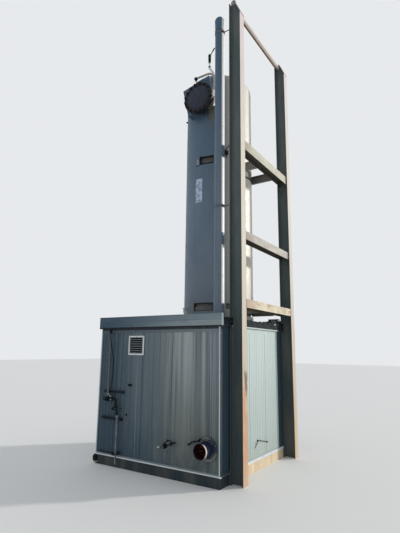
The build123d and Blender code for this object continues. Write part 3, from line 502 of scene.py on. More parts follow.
def weathered_paint(
    name, paint, faded, stain, rust, low_rust=None, wear=True, shade_colors=None, top=None, foot=None, scarred=False,
):
    """Chalky brush paint: brown runs, rust through it, chipped edges, and painted shade on faces turned to
    the front, in the posts' channels and by the front post.
    """
    shade = Shade(name)
    shade.color = shade.mix(shade.ramp(shade.noise(2.1, 3, (1, 1, 0.35)), 0.34, 0.66), faded, paint)
    if top is not None:
        shade.lay(top, shade.ramp(shade.z, 4.6, 7.4, 0.0, 0.85))
    if foot is not None:
        shade.lay(foot, shade.fall(shade.z, 0.2, 3.0, 0.9))
    patches = shade.noise(3.4, 6, (1, 1, 0.5), 9.3)
    amount = shade.ramp(patches, 0.42, 0.70, 0.12, 1.0)
    if low_rust is not None:
        level, most = low_rust
        amount = shade.maths("ADD", amount, shade.fall(shade.z, 0.0, level, most), True)
    shade.lay(stain, shade.ramp(shade.runs(22, 0.55, 5, 6.1), 0.50, 0.74), amount, 0.85)
    if scarred:
        lit = shade.times(shade.sunny(), shade.fall(shade.y, front_post[1].y + 0.35, front_post[1].y + 0.75))
        orange = shade.ramp(shade.noise(6, 6, (1, 1, 0.3), 2.9), 0.38, 0.56)
        shade.lay((0.62, 0.29, 0.15), lit, shade.near(shade.z, 0.64, 0.54, 0.35), orange, 0.7)
        brown = shade.ramp(shade.noise(9, 6, (1, 1, 0.4), 8.8), 0.50, 0.60)
        shade.lay((0.15, 0.085, 0.06), lit, shade.near(shade.z, 1.36, 0.10, 0.25), brown, 0.85)
    # painted shade on front faces, in the posts' channels and in the nook by the front post, darker towards
    # the bottom
    if shade_colors is not None:
        within = shade.fall(shade.x, right + 0.004, right + 0.008)
        nook = shade.times(beside_post(shade, 0.02), within, shade.sunny())
        shaded_faces = shade.most(shade.front_faces(), pocket(shade), nook)
        shade_tone = shade.clouds(*shade_colors, 7, 4, (1, 1, 0.25), 5.2)
        shade_tone = shade.mix(shade.fall(shade.z, 0.6, 5.0, 0.75), shade_tone, shade_colors[0])
        shade.lay(shade_tone, shaded_faces, shade.ramp(shade.noise(4, 5, (1, 1, 0.2), 1.4), 0.25, 0.60, 0.92, 1.0))
    specks = shade.ramp(shade.noise(26, 6, shift=1.1, roughness=0.7), 0.70 - rust, 0.78 - rust)
    spots = shade.times(specks, shade.ramp(patches, 0.46, 0.66, 0.10, 1.0))
    if wear:
        chips = shade.times(shade.edges(0.006), shade.ramp(shade.noise(30, 5, shift=4), 0.47, 0.60), 0.8)
        spots = shade.most(spots, chips)
    shade.lay(shade.rust(), spots)
    height = shade.maths("SUBTRACT", shade.times(shade.noise(60, 3), 0.3), shade.times(spots, 0.6))
    return shade.finish(shade.ramp(spots, 0.0, 1.0, 0.55, 0.86), 0.0, height, 0.0015, 0.6, 0.25)


def beam_paint(node, paint, faded, blotch, amount):
    """Brush paint on a beam, blotched with brown where water stands, and painted shade beneath, on its front
    faces and in its channel.
    """
    shade = Shade(node + "_paint")
    edge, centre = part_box(node)[1].x, middle(node).z
    shade.color = shade.mix(shade.ramp(shade.noise(3.1, 4, (1, 1, 2.5)), 0.36, 0.64), faded, paint)
    patches = shade.noise(6.5, 6, (1.5, 0.8, 2.0), 2.7, 0.65)
    shade.lay(blotch, shade.ramp(patches, 0.60 - amount, 0.72 - amount * 0.5, 0.0, 0.8))
    shade.lay(blotch, shade.ramp(shade.noise(70, 4, shift=5.5), 0.45, 0.70, 0.0, 0.30))
    shade.lay(blotch, shade.fall(shade.y, front_post[1].y, front_post[1].y + 0.55, 0.7))
    # painted shade in the channel, beneath and on the front faces
    within = shade.fall(shade.x, edge - 0.014, edge - 0.011)
    channel = shade.times(within, shade.fall(shade.z, centre - 0.002, centre + 0.002))
    shade.lay(BEAM_SHADE, shade.most(channel, shade.most(shade.front_faces(), shade.underside())), 0.95)
    shade.lay(shade.rust(), shade.edges(0.006), shade.ramp(shade.noise(30, 5, shift=4), 0.50, 0.62), 0.7)
    return shade.finish(shade.ramp(patches, 0.3, 0.7, 0.60, 0.85), 0.0, shade.noise(50, 4), 0.0015, 0.5, 0.25)


def top_beam_paint():
    """The top tie: pale on its outer half, bare brown on the inner half of its underside."""
    shade = Shade("top_beam_paint")
    centre = middle("top_beam").x
    shade.color = shade.clouds((0.70, 0.63, 0.60), (0.84, 0.79, 0.76), 7, 5, (1, 0.6, 1))
    brown = shade.clouds((0.13, 0.065, 0.034), (0.34, 0.205, 0.125), 9, 6, shift=3)
    share = shade.maths("ADD", shade.x, shade.times(shade.noise(5, 4, (1, 2, 1), 4.4), 0.012))
    shade.lay(brown, shade.fall(share, centre + 0.002, centre + 0.010), shade.underside())
    return shade.finish(0.75, 0.0, shade.noise(50, 4), 0.0012, 0.5, 0.25)


def stay_steel():
    """Bands and stays: the stack's own grey in the shade, bare brown steel on the sun's side."""
    shade = Shade("stay_steel")
    shade.color = shade.clouds((0.085, 0.110, 0.145), (0.130, 0.160, 0.195), 9)
    bare = shade.clouds((0.040, 0.034, 0.032), (0.100, 0.080, 0.070), 26, 5, shift=3)
    shade.lay(bare, shade.sun_side(stack, -0.010, 0.030))
    return shade.finish(0.65, 0.1, shade.noise(60, 4), 0.0008, 0.5)


def louvre_sheet():
    """Louvre of folded sheet: a bright frame, and slats whose painted shade deepens behind their pale front
    edges.
    """
    shade = Shade("louvre_metal")
    centre, border = middle("louvre"), 0.024
    inside = shade.times(
        shade.near(shade.x, centre.x, (louvre_high.x - louvre_low.x) / 2 - border, 0.002),
        shade.near(shade.z, centre.z, (louvre_high.z - louvre_low.z) / 2 - border, 0.002))
    shade.color = shade.clouds((0.62, 0.66, 0.68), (0.80, 0.82, 0.83), 9, 5)
    edge = shade.clouds((0.20, 0.235, 0.25), (0.34, 0.375, 0.39), 16, 5, (1, 1, 3))
    # painted shade between the slats, deepening away from their front edges
    depth = shade.ramp(shade.y, louvre_low.y + 0.010, louvre_low.y + 0.026)
    shade.lay(shade.mix(depth, edge, (0.010, 0.012, 0.014)), inside)
    return shade.finish(shade.sheen(20, 0.42, 0.6), 0.1, shade.noise(60, 4), 0.0006, 0.4)


def bare_metal(name, light, dark, metallic, rough, rust=0.0, scale=24, specular=0.3):
    """Plain metal with cloudy tarnish and, where asked, rust blooms."""
    shade = Shade(name)
    shade.color = shade.mix(shade.ramp(shade.noise(scale, 5), 0.35, 0.65), dark, light)
    if rust:
        blooms = shade.noise(scale * 1.4, 6, shift=5, roughness=0.65)
        shade.lay(shade.rust(), shade.ramp(blooms, 0.66 - rust, 0.76 - rust))
    roughness = shade.ramp(shade.noise(scale * 1.7, 4, shift=2), 0.3, 0.7, *rough)
    return shade.finish(roughness, metallic, shade.noise(scale * 3, 4), 0.0008, 0.5, specular)


def manway_iron():
    """Flange iron, painted dark long ago: blacker towards the rim, with streaks down the face."""
    shade = Shade("manway_iron")
    shade.color = shade.clouds((0.022, 0.030, 0.048), (0.036, 0.044, 0.066), 9, 5)
    rim = shade.ramp(shade.reach(cover), cover_radius * 0.66, cover_radius * 0.90)
    shade.lay((0.008, 0.009, 0.013), rim, 0.85)
    shade.lay((0.060, 0.052, 0.052), shade.ramp(shade.runs(30, 1.6, 5), 0.58, 0.76), 0.45)
    mottled = shade.ramp(shade.noise(24, 6, shift=2), 0.42, 0.66)
    return shade.finish(shade.ramp(mottled, 0, 1, 0.5, 0.75), 0.0, shade.noise(70, 5), 0.001, 0.7, 0.2)


def outlet_steel():
    """Pipe with a worn pale lip that shows only on its upper right as a painted highlight, dark blue-grey
    behind it and red rust within its bore.
    """
    shade = Shade("outlet_steel")
    lip = shade.clouds((0.62, 0.52, 0.47), (0.80, 0.72, 0.68), 30, 5)
    band = shade.maths("ADD", shade.y, shade.times(shade.noise(14, 4, shift=3.3), 0.03))
    shade.color = shade.clouds((0.004, 0.010, 0.034), (0.024, 0.032, 0.062), 13, 5)
    # worn pale lip, laid only on the upper right as a painted highlight
    shade.lay(
        lip, shade.fall(band, outlet_low.y + 0.034, outlet_low.y + 0.046),
        shade.ramp(shade.x, outlet.x + outlet_radius * 0.25, outlet.x + outlet_radius * 0.70, 0.06, 1.0),
        shade.ramp(shade.z, outlet.z - outlet_radius * 0.9, outlet.z - outlet_radius * 0.4, 0.1, 1.0))
    shade.lay(shade.rust(), shade.ramp(shade.noise(30, 6), 0.62, 0.74, 0, 0.5))
    scale = shade.ramp(shade.noise(34, 6, shift=3, roughness=0.7), 0.44, 0.62)
    deep = shade.ramp(shade.y, outlet_low.y + 0.10, outlet_low.y + 0.22, 0.05, 1.0)
    bore = shade.mix(shade.times(scale, deep), (0.010, 0.009, 0.011), (0.80, 0.20, 0.13))
    shade.lay(bore, shade.fall(shade.reach(outlet), outlet_radius - 0.006, outlet_radius - 0.003))
    return shade.finish(0.72, 0.0, shade.noise(48, 5), 0.002, 0.6, 0.08)


def outlet_plate_sheet():
    """The plate round the outlet: the wall's own grey with a dark rim and a blue-black smear above."""
    shade = Shade("outlet_plate_sheet")
    outer = half_width("outlet_plate")
    shade.color = shade.mix(shade.runs(30, 1.5, 4), (0.135, 0.150, 0.135), (0.215, 0.225, 0.195))
    rightwards = shade.ramp(shade.maths("SUBTRACT", shade.x, outlet.x), 0.00, 0.06)
    upwards = shade.ramp(shade.maths("SUBTRACT", shade.z, outlet.z), -0.07, 0.00)
    smear = shade.ramp(shade.noise(9, 4, shift=6.2), 0.30, 0.50, 0.55, 1.0)
    shade.lay((0.030, 0.042, 0.085), rightwards, upwards, smear, 0.9)
    shade.lay((0.030, 0.034, 0.036), shade.ramp(shade.reach(outlet), outer - 0.008, outer - 0.004), 0.85)
    return shade.finish(shade.sheen(20, 0.42, 0.6), 0.15, shade.noise(30, 4), 0.001, 0.4)


def drain_paint():
    """The drain pipe: dark and blue-grey, with a worn white end."""
    shade = Shade("drain_paint")
    tip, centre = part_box("drain_pipe")[0].y, middle("drain_pipe")
    shade.color = shade.clouds((0.030, 0.042, 0.054), (0.075, 0.095, 0.105), 20, 5)
    white = shade.clouds((0.36, 0.40, 0.41), (0.62, 0.65, 0.65), 28, 5, shift=2)
    worn = shade.maths("ADD", shade.y, shade.times(shade.noise(26, 4, shift=4.1), 0.02))
    shade.lay(
        white, shade.fall(worn, tip + 0.028, tip + 0.036),
        shade.ramp(shade.z, centre.z - 0.010, centre.z + 0.002),
        shade.ramp(shade.x, centre.x - 0.004, centre.x + 0.012, 1.0, 0.25))
    return shade.finish(shade.sheen(30, 0.45, 0.65), 0.0, shade.noise(60, 4), 0.0008, 0.5)


def finishes():
    """The record's material slots, each with its node material."""
    made = {
        "wall_cladding": cladding(
            "wall_cladding", (0.25, 0.295, 0.31), (0.17, 0.212, 0.236), (0.085, 0.12, 0.145), 0.5),
        "trim": trim_metal(),
        "vessel_jacket": jacket_sheet(),
        "vessel_steel": weathered_paint(
            "vessel_steel", (0.17, 0.165, 0.155), (0.10, 0.10, 0.10), (0.09, 0.055, 0.04), 0.08, wear=False),
        "frame_steel": weathered_paint(
            "frame_steel", (0.63, 0.575, 0.48), (0.56, 0.515, 0.435), (0.44, 0.26, 0.15), 0.04, (4.2, 0.8),
            shade_colors=((0.050, 0.068, 0.072), (0.120, 0.150, 0.152)), top=(0.68, 0.60, 0.60),
            foot=(0.62, 0.475, 0.315), scarred=True),
        "skid_steel": weathered_paint(
            "skid_steel", (0.84, 0.73, 0.52), (0.66, 0.52, 0.35), (0.62, 0.26, 0.14), 0.07, (0.16, 0.35),
            shade_colors=((0.020, 0.034, 0.042), (0.040, 0.056, 0.062)), scarred=True),
        "davit_steel": weathered_paint(
            "davit_steel", (0.38, 0.365, 0.345), (0.27, 0.265, 0.25), (0.20, 0.13, 0.09), 0.05),
        "manway_iron": manway_iron(),
        "stack_paint": stack_sheet("stack_paint", 0.10, (0.42, 0.56)),
        "louvre_metal": louvre_sheet(),
        "pipe_steel": outlet_steel(),
    }
    for name, *look in (
        ("roof_sheet", (0.24, 0.275, 0.30), (0.15, 0.18, 0.205), 0.2, (0.4, 0.6), 0.02, 5),
        ("galvanised", (0.034, 0.052, 0.068), (0.015, 0.025, 0.034), 0.1, (0.5, 0.7), 0.02, 24, 0.15),
        ("valve_body", (0.014, 0.020, 0.026), (0.005, 0.008, 0.011), 0.0, (0.5, 0.7), 0.02, 24, 0.12),
        ("white_fitting", (0.76, 0.77, 0.76), (0.60, 0.62, 0.63), 0.05, (0.4, 0.55)),
        ("floor_steel", (0.20, 0.20, 0.20), (0.11, 0.11, 0.11), 0.3, (0.5, 0.7), 0.08, 6),
    ):
        made[name] = bare_metal(name, *look)
    return made


slot_of = {row["node"]: row["material_slot"] for row in frame["record"]["subparts"]}
finish_of = finishes()
SUNLIT_SIDE_SHEET = side_sheet()
FRONT_SHEET = cladding(
    "front_cladding", (0.262, 0.308, 0.320), (0.180, 0.218, 0.236), (0.034, 0.066, 0.094), 0.55,
    (0.185, 0.190, 0.140))
FASCIA = fascia_sheet()
STAY_STEEL = stay_steel()
# support arms darker than the frame's paint, as painted shade
SHADED_ARM_STEEL = weathered_paint(
    "shaded_arm_steel", (0.21, 0.205, 0.18), (0.135, 0.135, 0.12), (0.12, 0.075, 0.05), 0.07, wear=False)
ZINC = bare_metal("zinc", (0.34, 0.36, 0.37), (0.20, 0.22, 0.23), 0.4, (0.35, 0.5), 0.02, 60)
BLACK = bare_metal(
    "black_rubber", (0.012, 0.013, 0.016), (0.005, 0.006, 0.008), 0.0, (0.55, 0.75), 0.0, 40, 0.10)
RUSTY = bare_metal("rusty_iron", (0.075, 0.055, 0.050), (0.032, 0.024, 0.022), 0.1, (0.7, 0.9), 0.02, 30)
SEALANT = bare_metal("sealant", (0.42, 0.43, 0.42), (0.30, 0.31, 0.31), 0.0, (0.6, 0.8), 0.0, 50)
BOLT_DARK = bare_metal("dark_bolt", (0.030, 0.027, 0.030), (0.012, 0.011, 0.013), 0.2, (0.45, 0.7), 0.04, 60)
WOOL = bare_metal("mineral_wool", (0.060, 0.052, 0.046), (0.025, 0.022, 0.020), 0.0, (0.85, 0.95), 0.0, 90)
PATCH = bare_metal("patch_film", (0.56, 0.66, 0.80), (0.22, 0.30, 0.42), 0.0, (0.45, 0.65), 0.0, 14)
LUG_STEEL = bare_metal("lug_steel", (0.46, 0.44, 0.40), (0.22, 0.195, 0.175), 0.0, (0.55, 0.75), 0.08, 70)
LAP_SHEET = bare_metal("lap_sheet", (0.205, 0.245, 0.265), (0.120, 0.155, 0.178), 0.15, (0.4, 0.58), 0.0, 14)
# near black: painted shade on the roof's right edge flashing
EDGE_SHADE = bare_metal(
    "shaded_edge_flashing", (0.024, 0.032, 0.037), (0.008, 0.012, 0.015), 0.0, (0.6, 0.8), 0.01, 22, 0.12)
FLAP_SHEET = bare_metal("flap_sheet", (0.34, 0.39, 0.42), (0.24, 0.28, 0.31), 0.0, (0.5, 0.65), 0.0, 40)
PALE_TUBE = bare_metal("pale_tube", (0.235, 0.265, 0.290), (0.130, 0.155, 0.180), 0.1, (0.45, 0.6), 0.0, 30)
DULL_TUBE = bare_metal("dull_tube", (0.155, 0.150, 0.165), (0.085, 0.098, 0.118), 0.1, (0.45, 0.6), 0.0, 30)


def dress_frame():
    """Gives each node its slot's material, or its own where it differs from the slot's."""
    own = {
        "right_wall": SUNLIT_SIDE_SHEET, "front_wall": FRONT_SHEET, "front_fascia": FASCIA,
        "stack_stays": STAY_STEEL, "stack_cap": stack_sheet("stack_cap_metal", 0.45, (0.24, 0.36)),
        "upper_support_arms": SHADED_ARM_STEEL, "lower_support_arms": SHADED_ARM_STEEL,
        "conduit": DULL_TUBE, "tubing": PALE_TUBE, "drain_valve": BLACK,
        "outlet_plate": outlet_plate_sheet(), "drain_pipe": drain_paint(), "top_beam": top_beam_paint(),
    }
    for node, paint, faded, blotch, amount in (
        ("upper_beam", (0.62, 0.605, 0.50), (0.54, 0.52, 0.43), (0.36, 0.31, 0.22), -0.03),
        ("middle_beam", (0.59, 0.555, 0.50), (0.48, 0.445, 0.395), (0.33, 0.265, 0.22), 0.02),
        ("lower_beam", (0.80, 0.73, 0.54), (0.64, 0.56, 0.42), (0.44, 0.30, 0.235), 0.08),
    ):
        own[node] = beam_paint(node, paint, faded, blotch, amount)
    for name, node in frame["nodes"].items():
        node.data.materials.clear()
        node.data.materials.append(own.get(name) or finish_of[slot_of[name]])


# Mesh shorthand

def lathe(mesh, origin, axis, profile, sides=24, turn=0.0, closed=False):
    """A turned shape: profile is (along the axis, radius) pairs, six sides make a nut."""
    axis = Vector(axis).normalized()
    across = axis.orthogonal().normalized()
    other = axis.cross(across)
    rings = []
    for along, radius in profile:
        centre = Vector(origin) + axis * along
        if radius <= 0:
            rings.append([mesh.verts.new(centre)])
            continue
        angles = [turn + 2 * pi * number / sides for number in range(sides)]
        rings.append([mesh.verts.new(centre + (across * cos(a) + other * sin(a)) * radius) for a in angles])
    pairs = list(zip(rings, rings[1:]))
    if closed:
        pairs.append((rings[-1], rings[0]))
    for low, high in pairs:
        for number in range(sides):
            after = (number + 1) % sides
            if len(low) == 1 and len(high) > 1:
                mesh.faces.new((low[0], high[number], high[after]))
            elif len(high) == 1 and len(low) > 1:
                mesh.faces.new((low[number], low[after], high[0]))
            elif len(low) > 1:
                mesh.faces.new((low[number], low[after], high[after], high[number]))


def rod(mesh, start, end, radius, sides=20):
    """A solid rod between two points with eased ends."""
    start, end = Vector(start), Vector(end)
    length = (end - start).length
    edge = min(radius, length) * 0.18
    lathe(mesh, start, end - start, (
        (0, 0), (0, radius - edge), (edge, radius), (length - edge, radius), (length, radius - edge),
        (length, 0),
    ), sides)


def ring(mesh, origin, axis, inner, outer, thickness, sides=32):
    """A flat ring with eased outer edges, its back on origin."""
    edge = min(thickness, outer - inner) * 0.2
    lathe(mesh, origin, axis, (
        (0, inner), (0, outer - edge), (edge, outer), (thickness - edge, outer), (thickness, outer - edge),
        (thickness, inner),
    ), sides, closed=True)


def nut(mesh, origin, axis, size, thickness, turn=0.0):
    """A hexagon nut, its back on origin."""
    lathe(mesh, origin, axis, (
        (0, 0), (0, size * 0.54), (thickness * 0.85, size * 0.58), (thickness, size * 0.50), (thickness, 0),
    ), 6, turn)


def screw(mesh, origin, axis, size):
    """A hexagon-head sheet screw on its washer."""
    lathe(mesh, origin, axis, (
        (0, 0), (0, size), (size * 0.22, size * 0.95), (size * 0.22, size * 0.56), (size * 0.75, size * 0.56),
        (size * 0.85, size * 0.44), (size * 0.85, 0),
    ), 8, random.uniform(0, 1))


def copy_into(mesh, part, place):
    """Copies a small mesh into another, each corner where place puts it, and frees the small one."""
    copies = {vert: mesh.verts.new(place(vert.co)) for vert in part.verts}
    for face in part.faces:
        mesh.faces.new([copies[vert] for vert in face.verts])
    part.free()


def slab(mesh, centre, size, axes=(X, Y, Z), bevel=0.002):
    """A box with eased edges, its size along the three axes."""
    part = bmesh.new()
    bmesh.ops.create_cube(part, size=1.0)
    for vert in part.verts:
        vert.co = Vector(vert.co[i] * size[i] for i in range(3))
    bmesh.ops.bevel(part, geom=part.edges[:], offset=min(bevel, min(size) * 0.3), segments=2, affect="EDGES")
    turn = Matrix(tuple(Vector(a).normalized() for a in axes)).transposed()
    copy_into(mesh, part, lambda at: Vector(centre) + turn @ at)


def plate(mesh, outline, origin, along, up, thickness, bevel=0.0015):
    """A flat plate with that outline in the along and up directions, thickness towards their normal."""
    along, up = Vector(along).normalized(), Vector(up).normalized()
    part = bmesh.new()
    face = part.faces.new([part.verts.new(Vector(origin) + along * a + up * b) for a, b in outline])
    grown = bmesh.ops.extrude_face_region(part, geom=[face])
    for vert in (v for v in grown["geom"] if isinstance(v, bmesh.types.BMVert)):
        vert.co += along.cross(up) * thickness
    bmesh.ops.bevel(part, geom=part.edges[:], offset=min(bevel, thickness * 0.3), segments=1, affect="EDGES")
    copy_into(mesh, part, Vector)


def lump(mesh, centre, size):
    """A rounded irregular lump."""
    part = bmesh.new()
    bmesh.ops.create_icosphere(part, subdivisions=3, radius=size)
    shift = random.uniform(0, 10)
    for vert in part.verts:
        n = vert.co.normalized()
        push = 0.16 * sin(n.x * 5 + shift) * cos(n.y * 4 - shift) + 0.10 * sin(n.z * 9 + shift * 2)
        vert.co = vert.co * (1 + push)
        vert.co.z *= 0.8
    copy_into(mesh, part, lambda at: Vector(centre) + at)


def loft(mesh, rows):
    """Joins rows of corners into one bar that is closed at both ends."""
    count = len(rows[0])
    for a, b in zip(rows, rows[1:]):
        for k in range(count):
            mesh.faces.new((a[k], a[(k + 1) % count], b[(k + 1) % count], b[k]))
    mesh.faces.new(rows[0][::-1])
    mesh.faces.new(rows[-1])


def rounded_route(points, bend, steps=7):
    """The points of a pipe's centre line, its corners turned into arcs."""
    points = [Vector(p) for p in points]
    route = [points[0]]
    for before, corner, after in zip(points, points[1:], points[2:]):
        back, on = (before - corner).normalized(), (after - corner).normalized()
        half = back.angle(on) / 2
        if abs(half - pi / 2) < 0.01:
            route.append(corner)
            continue
        cut = min(bend / tan(half), (before - corner).length * 0.49, (after - corner).length * 0.49)
        centre = corner + (back + on).normalized() * (cut * tan(half) / sin(half))
        start, end = corner + back * cut - centre, corner + on * cut - centre
        swept = start.angle(end)
        for number in range(steps + 1):
            share = number / steps
            rest, gone = sin((1 - share) * swept) / sin(swept), sin(share * swept) / sin(swept)
            route.append(centre + start * rest + end * gone)
    route.append(points[-1])
    return route


def sweep(mesh, route, size_at, sides):
    """A bar along the route, its radius at each point given by size_at."""
    heading = (route[1] - route[0]).normalized()
    across = heading.orthogonal().normalized()
    rows = []
    for number, point in enumerate(route):
        ahead = route[min(number + 1, len(route) - 1)] - route[max(number - 1, 0)]
        if ahead.length > 1e-9:
            heading = ahead.normalized()
        across = (across - heading * across.dot(heading)).normalized()
        other = heading.cross(across)
        size = size_at(number)
        angles = [2 * pi * k / sides for k in range(sides)]
        rows.append([mesh.verts.new(point + (across * cos(a) + other * sin(a)) * size) for a in angles])
    loft(mesh, rows)


def pipe(mesh, points, radius, bend=0.05, sides=14):
    """A round bar or tube bent along the points."""
    sweep(mesh, rounded_route(points, bend), lambda number: radius, sides)


def bead(mesh, points, radius, pitch=0.012):
    """A weld bead with its ripples along the points."""
    route = []
    for start, end in zip(points, points[1:]):
        start, end = Vector(start), Vector(end)
        count = max(1, int((end - start).length / pitch))
        route += [start.lerp(end, k / count) for k in range(count)]
    route.append(Vector(points[-1]))
    sweep(mesh, route, lambda number: radius * (1.0 + 0.16 * (-1) ** number + random.uniform(-0.08, 0.08)), 6)


def outward(angle):
    """The level direction at that angle from +X."""
    return Vector((cos(angle), sin(angle), 0))


def around(angle, radius, z):
    """A point at that angle from +X and radius from the tower's axis."""
    return tower + outward(angle) * radius + Z * z


def hoop(centre, radius, z, steps):
    """The points of a closed level circle."""
    return [centre + outward(2 * pi * k / steps) * radius + Z * z for k in range(steps + 1)]


def clock(centre, radius, count, first=0.0):
    """Points evenly round a circle that faces the front, the first at that angle."""
    angles = [first + 2 * pi * number / count for number in range(count)]
    return [Vector(centre) + Vector((radius * cos(a), 0, radius * sin(a))) for a in angles]


def evenly(start, end, count):
    """That many values from start to end."""
    return [start + (end - start) * number / (count - 1) for number in range(count)]


def piece(name, mesh, slot, material=None):
    """Turns the gathered mesh into a piece that rides on the skid."""
    bmesh.ops.recalc_face_normals(mesh, faces=mesh.faces[:])
    data = bpy.data.meshes.new(name)
    mesh.to_mesh(data)
    mesh.free()
    for polygon in data.polygons:
        polygon.use_smooth = True
    data.set_sharp_from_angle(angle=radians(40))
    made = bpy.data.objects.new(name, data)
    bpy.context.scene.collection.objects.link(made)
    data.materials.append(material or finish_of[slot])
    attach(made, "root")


# Manway

def manway_bolts():
    """Sixteen studs round the cover with a nut and washer at each end."""
    studs, nuts = bmesh.new(), bmesh.new()
    count, washer = 16, 0.003
    cover_face, flange_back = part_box("manway_cover")[0].y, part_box("manway_flange")[1].y
    for at in clock((cover.x, 0, cover.z), cover_radius * 0.905, count, pi / count):
        face, back = at + Y * cover_face, at + Y * flange_back
        rod(studs, face - Y * 0.047, back + Y * 0.032, 0.0125, 12)
        for origin, axis in ((face, -Y), (back, Y)):
            lathe(nuts, origin, axis, ((0, 0), (0, 0.0235), (washer, 0.0235), (washer, 0)), 20)
            nut(nuts, origin + axis * washer, axis, 0.038, 0.026, random.uniform(0, 1))
    piece("manway_studs", studs, "manway_iron", RUSTY)
    piece("manway_nuts", nuts, "manway_iron", BOLT_DARK)


def manway_gasket():
    """The gasket's edge between cover and flange, and the raised face on the cover."""
    mesh = bmesh.new()
    low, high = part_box("manway_cover")
    step = 0.003
    joint = Vector((cover.x, high.y - step / 2, cover.z))
    ring(mesh, joint, Y, cover_radius * 0.78, cover_radius + step / 2, step, 64)
    lathe(mesh, (cover.x, low.y, cover.z), -Y, (
        (0, 0), (0, cover_radius * 0.74), (step, cover_radius * 0.725), (step, 0),
    ), 64)
    piece("manway_gasket", mesh, "manway_iron")


def davit_fittings():
    """Dark sleeve and shackle at the davit's tip, a collar and a pin at its socket."""
    dark, light = bmesh.new(), bmesh.new()
    low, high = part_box("manway_davit")
    radius = (high.y - low.y) / 2
    y = middle("manway_davit").y
    tip = Vector((low.x, y, high.z - radius))
    hem, sleeve, reach = radius * 1.1, radius * 1.3, 0.040
    lathe(dark, tip - X * 0.006, X, (
        (0, 0), (0, hem), (0.006, sleeve), (0.058, sleeve), (0.064, hem), (0.064, radius * 0.9),
    ), 24)
    pin = tip + X * 0.026
    rod(dark, pin - Y * reach, pin + Y * reach, 0.009, 12)
    for side in (-1, 1):
        nut(dark, pin + Y * side * 0.030, Y * side, 0.024, 0.010)
    angles = [radians(angle) for angle in evenly(-40, 220, 9)]
    bow = [pin + Vector((0, 0.027 * cos(a), -0.060 - 0.030 * sin(a - pi))) for a in angles]
    eyes = [pin + Vector((0, side * 0.024, -0.004)) for side in (1, -1)]
    pipe(dark, [eyes[0], *bow, eyes[1]], 0.008, 0.015, 10)
    piece("davit_shackle", dark, "valve_body")
    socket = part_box("davit_socket")[1].z
    post = Vector((high.x - radius, y, socket))
    ring(light, post, Z, radius, radius + 0.020, 0.024)
    bolt = post - Z * 0.05
    rod(light, bolt - X * 0.052, bolt + X * 0.052, 0.008, 12)
    nut(light, bolt + X * 0.036, X, 0.024, 0.012)
    piece("davit_collar", light, "davit_steel")


def box_trim():
    """Folded edge strips and their screws on the sheet box behind the manway."""
    mesh = bmesh.new()
    tilt, sheet, width = radians(12.5), 0.0016, 0.022
    low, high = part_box("manway_box")
    centre = middle("manway_box")
    centre.y = low.y
    along = Vector((cos(tilt), 0, sin(tilt)))
    up = Vector((-sin(tilt), 0, cos(tilt)))
    side = (high.x - low.x) / (cos(tilt) + sin(tilt))
    for direction, across in ((along, up), (up, along)):
        for sign in (-1, 1):
            at = centre + across * sign * (side - width) / 2 - Y * sheet / 2
            slab(mesh, at, (side, sheet, width), (direction, Y, direction.cross(Y)), 0.0004)
            for number in range(5):
                screw(mesh, at + direction * side * (number - 2) / 4.6 - Y * sheet / 2, -Y, 0.006)
    piece("box_trim", mesh, "vessel_jacket")


# Tower

def shell_strip(mesh, start, end, low, high, radius, thickness, steps):
    """A curved strip round the tower between two angles and two levels."""
    corners = ((radius, low), (radius + thickness, low), (radius + thickness, high), (radius, high))
    loft(mesh, [
        [mesh.verts.new(around(angle, r, z)) for r, z in corners] for angle in evenly(start, end, steps + 1)
    ])


def jacket_laps():
    """Lap steps at each course of the jacket with their screws, and the upright laps at the back."""
    laps, screws = bmesh.new(), bmesh.new()
    first, course, lap, sheet, count = 2.675, 0.607, 0.022, 0.0011, 40
    levels = [first + course * number for number in (1, 2, 3)] + [5.80, 6.317]
    for number, level in enumerate(levels):
        shell_strip(laps, 0, 2 * pi, level - lap, level, jacket_radius, sheet, 96)
        for step in range(count):
            angle = 2 * pi * (step + 0.5) / count
            screw(screws, around(angle, jacket_radius + sheet, level - lap / 2), outward(angle), 0.0042)
        seam = radians(75 + 40 * (number % 2))
        top = levels[number + 1] if number + 1 < len(levels) else jacket_top - 0.02
        shell_strip(laps, seam, seam + 0.030, level, top - lap, jacket_radius, sheet, 2)
    shell_strip(laps, 0, 2 * pi, jacket_top - 0.030, jacket_top - 0.006, jacket_radius, 0.0014, 96)
    piece("jacket_laps", laps, "vessel_jacket")
    piece("jacket_screws", screws, "vessel_jacket", ZINC)


def window_lips():
    """Folded lips round the windows cut through the jacket, and mineral wool within their edges."""
    lips, wool = bmesh.new(), bmesh.new()
    half = asin(window_width / 2 / jacket_radius)
    centre = radians(window_turn - 90)
    start, end = centre - half, centre + half
    lip, ledge, wool_width, wool_height = 0.014, 0.020, 0.016, 0.012
    for level in (upper_window, lower_window):
        low, high = level - window_height / 2, level + window_height / 2
        for strip in (
            (start - lip, end + lip, high, high + 0.008), (start - ledge, end + lip, low - 0.013, low),
            (start - ledge, start, low, high), (end, end + lip, low, high),
        ):
            shell_strip(lips, *strip, jacket_radius + 0.0002, 0.0014, 10)
        for bottom in (low, high - wool_height):
            ragged_wool(wool, start, end, bottom, bottom + wool_height)
        for edge in (start, end - wool_width):
            ragged_wool(wool, edge, edge + wool_width, low, high)
    piece("window_lips", lips, "trim")
    piece("window_wool", wool, "vessel_steel", WOOL)


def ragged_wool(mesh, start, end, low, high):
    """Torn mineral wool that lines one side of a window, behind the sheet."""
    inner, outer = jacket_radius - 0.044, jacket_radius - 0.004
    rows = []
    for angle in evenly(start, end, max(2, int((end - start) / 0.02)) + 1):
        row = []
        for r, z in ((inner, low), (outer, low), (outer, high), (inner, high)):
            torn = around(angle, r + random.uniform(-0.002, 0.001), z + random.uniform(-0.002, 0.002))
            row.append(mesh.verts.new(torn))
        rows.append(row)
    loft(mesh, rows)


